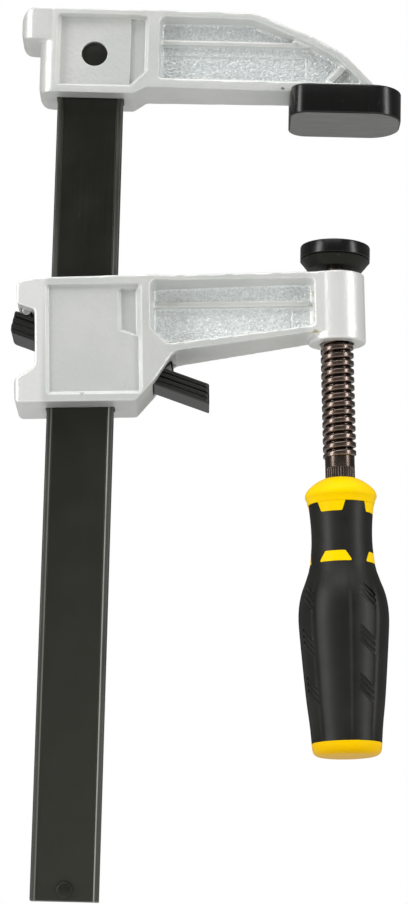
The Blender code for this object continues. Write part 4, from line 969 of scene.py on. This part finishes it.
def makeHandle():
    size = handle
    collarFoot, sleeveFoot = heightAt(size["collarShare"]), heightAt(size["capShare"])
    sleeve, wall, gap = handleLine("sleeve"), size["wall"], size["gap"]
    topRadius, footRadius = sleeve[0][0], sleeve[-1][0]
    inner = [(radius - wall, height) for radius, height in sleeve]
    boreFoot = size["top"] - size["boreDepth"]
    core = [(0, boreFoot), (size["bore"], boreFoot), (size["bore"], size["top"])] + handleLine("collar")
    core += [(topRadius + 0.35, collarFoot + 0.2), (topRadius + 0.1, collarFoot)]
    core += [(inner[0][0] - 0.3, collarFoot)] + [(radius - 0.3, height) for radius, height in inner[1:]]
    core += [(inner[-1][0] - 0.3, sleeveFoot), (footRadius - 0.1, sleeveFoot)]
    core += [(footRadius + 0.05, sleeveFoot - 0.3)] + handleLine("foot") + [(0, size["top"] - size["length"])]
    ring = [(topRadius, collarFoot + 0.5)] + [(radius + 0.02, height) for radius, height in sleeve]
    ring += [(radius - 0.8, height) for radius, height in inner[::-1]]
    ring += [(inner[0][0] - 0.8, collarFoot + 0.5)]
    bands = cut(turned(ring, size["steps"], closed=True), ("INTERSECT", handleWedges(0)))
    bm = cut(turned(core, size["steps"]), ("UNION", bands))
    finished("handleCore", bm, "yellow", "screw", "handle_core", 32, spindlePlace)
    shell = [(topRadius, collarFoot - gap)] + sleeve + [(footRadius, sleeveFoot + gap)]
    shell += [(inner[-1][0], sleeveFoot + gap)] + inner[::-1] + [(inner[0][0], collarFoot - gap)]
    bm = turned(shell, size["sleeveSteps"], closed=True)
    # label and ribbed sides take turns, with a crease between them and the ribbed sides sunk a little
    (start, fadeIn), (end, fadeOut) = size["creaseIn"], size["creaseOut"]
    middle, wide, deep = size["crease"]
    for vert in bm.verts:
        angle = math.degrees(math.atan2(vert.co.x, -vert.co.y)) - size["phase"]
        share = (size["top"] - vert.co.z) / size["length"]
        fade = min(max((share - start) / fadeIn, 0), 1) * min(max((end - share) / fadeOut, 0), 1)
        turn = abs((angle + 45) % 90 - 45)
        crease = deep * math.exp(-((turn - middle) / wide) ** 2)
        vert.co.xy *= 1 - fade * (crease + size["sideSink"] * (turn > middle))
    bm = cut(bm, ("DIFFERENCE", handleWedges(gap)), ("DIFFERENCE", slashes()))
    finished("handleSleeve", bm, "rubber", "screw", "handle_grip", 32, spindlePlace)


# small marks of use: place, size and shade
chips = {
    "fixed": [
        ((-149.5, -8.0, 52.2), 1.1, (0.05, 0.05, 0.04)), ((-133.0, -13.0, 52.3), 0.9, (0.06, 0.06, 0.05)),
        ((-80.0, -13.4, 52.8), 0.5, (0.09, 0.09, 0.07)), ((-31.0, -11.6, 14.2), 0.6, (0.12, 0.12, 0.1)),
        ((-118.0, 14.2, 40.0), 0.8, (0.08, 0.08, 0.07)),
    ],
    "sliding": [
        ((-14.9, -9.0, -88.3), 1.5, (0.42, 0.4, 0.16)), ((-13.5, -10.6, -101.0), 1.1, (0.4, 0.38, 0.18)),
        ((-13.2, -11.8, -107.6), 1.3, (0.44, 0.41, 0.2)), ((-123.6, -19.0, -141.9), 1.0, (0.1, 0.1, 0.09)),
        ((-71.2, -15.4, -119.3), 0.8, (0.08, 0.08, 0.07)), ((-60.0, 15.4, -100.0), 0.7, (0.1, 0.1, 0.09)),
    ],
}

looks = {
    "fixedCasting": castSilver("castSilverFixed", chips["fixed"], (0.66, 0.7, 0.7)),
    # the lower horn and the boss are painted whiter, a painted highlight
    "slidingCasting": castSilver(
        "castSilverSliding", chips["sliding"], (0.82, 0.86, 0.86),
        ((-141.0, -144.5, 0.75), (-19.0, -14.0, 0.6)),
    ),
    "bar": blackenedSteel("blackenedBar", strips=True, shine=0.4),
    "stop": blackenedSteel("blackenedStop", "X"),
    "pin": blackenedSteel("blackenedPin", "X"),
    "disc": blackenedSteel("blackenedDisc", "X", shine=0.25),
    "wire": blackenedSteel("blackenedWire", "X"),
    "spindle": oiledOxide("oiledOxide"),
    "zinc": zincPlate("zincPlate"),
    "pad": glossyPlastic("glossyBlack"),
    "lever": mattPlastic("mattBlack"),
    "rubber": softGrip("softBlackGrip"),
    "yellow": yellowPlastic("yellowMoulding"),
    "liner": nylonLiner("nylonLiner"),
}

makers = (
    makeBar, makeFixedJaw, makeFixedPad, makeSlidingJaw, makeLever, makeSpring, makeSpindle, makeSwivelPad,
    makeHandle,
)
for maker in makers:
    maker()

for node, look in (("brake_plate", "zinc"), ("lever_pivot_pin", "zinc"), ("socket_liner", "liner")):
    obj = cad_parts[node]
    obj.data.materials.clear()
    obj.data.materials.append(looks[look])
print("small nodes dressed")


# the clamp is held by its fixed jaw, and the floor lies clear below the grip at every pose
stage = {"half": 15, "level": -0.6, "tone": 0.66, "glow": 0.85, "even": 0.6}


def makeStage():
    bm = bmesh.new()
    bmesh.ops.create_grid(bm, x_segments=1, y_segments=1, size=stage["half"])
    bmesh.ops.translate(bm, verts=bm.verts, vec=(0, 0, stage["level"]))
    floor = linked("floor", meshOf("floor", bm))
    finish = Finish("paleFloor", (stage["tone"],) * 3, Roughness=0.9)
    # the camera sees it paler and more even than the lamps alone would show it
    glow = finish.add("ShaderNodeEmission", None, {"Strength": stage["glow"]})
    seen = finish.add("ShaderNodeLightPath")
    base = Flow(finish.tree, finish.shader.outputs[0])
    paler = finish.add("ShaderNodeMixShader", None, {0: seen * stage["even"], 1: base, 2: glow})
    clear = finish.add("ShaderNodeBsdfTransparent")
    back = finish.add("ShaderNodeNewGeometry", out=6)
    mixed = finish.add("ShaderNodeMixShader", None, {0: back, 1: paler, 2: clear})
    finish.tree.links.new(mixed.socket, finish.tree.nodes["Material Output"].inputs["Surface"])
    floor.data.materials.append(finish.material)


studio = {
    "sky": 0.56, "reflected": 0.15,
    "lamps": [
        ("left", (-1.42, -0.85, 0.1), 15.5, (0.5, 1.8)), ("right", (1.42, -0.8, 0.1), 12.5, (0.35, 1.8)),
        ("top", (-0.1, -0.5, 1.6), 13.0, (1.8, 1.2)), ("front", (-0.4, -1.7, 2.0), 12.0, (2.2, 1.2)),
    ],
    "target": (-0.065, 0, -0.165),
}


def makeLight():
    world = bpy.data.worlds.new("studio")
    bpy.context.scene.world = world
    world.use_nodes = True
    tree = world.node_tree
    sky = tree.nodes["Background"]
    sky.inputs["Color"].default_value = (1, 1, 1, 1)
    rays = tree.nodes.new("ShaderNodeLightPath")
    seen = Flow(tree, rays.outputs["Is Camera Ray"])
    seen = seen.maths("MAXIMUM", seen, Flow(tree, rays.outputs["Is Transmission Ray"]))
    other = studio["sky"] + Flow(tree, rays.outputs["Is Glossy Ray"]) * (studio["reflected"] - studio["sky"])
    strength = other + seen * (1 - other)
    tree.links.new(strength.socket, sky.inputs["Strength"])
    for name, place, power, size in studio["lamps"]:
        lamp = bpy.data.lights.new(name, "AREA")
        lamp.shape = "RECTANGLE"
        lamp.size, lamp.size_y = size
        lamp.energy = power
        obj = linked(name, lamp)
        obj.location = place
        aim = Vector(studio["target"]) - Vector(place)
        obj.rotation_euler = aim.to_track_quat("-Z", "Y").to_euler()


# the focal length is in pixels of the photo, which is 904 of them tall
view = {
    "distance": 1.4, "rise": 12.0, "roll": 1.37, "sensor": 36, "focal": 2922, "tall": 904,
    "lookAt": (-0.0651, 0, -0.1655),
}


def makeCamera():
    rise, roll = math.radians(view["rise"]), math.radians(view["roll"])
    forward = Vector((0, math.cos(rise), math.sin(rise)))
    upright = Vector((0, -math.sin(rise), math.cos(rise)))
    across = Vector((1, 0, 0))
    right = across * math.cos(roll) + upright * math.sin(roll)
    up = upright * math.cos(roll) - across * math.sin(roll)
    data = bpy.data.cameras.new("camera")
    data.sensor_fit = "AUTO"
    data.sensor_width = view["sensor"]
    data.lens = view["sensor"] * view["focal"] / view["tall"]
    data.clip_start, data.clip_end = 0.05, 60
    obj = linked("camera", data)
    turn = Matrix((right, up, -forward)).transposed().to_4x4()
    obj.matrix_world = Matrix.Translation(Vector(view["lookAt"]) - forward * view["distance"]) @ turn
    bpy.context.scene.camera = obj


makeStage()
makeLight()
makeCamera()
bpy.context.scene.view_settings.view_transform = "Standard"
print("stage, lights and camera set")
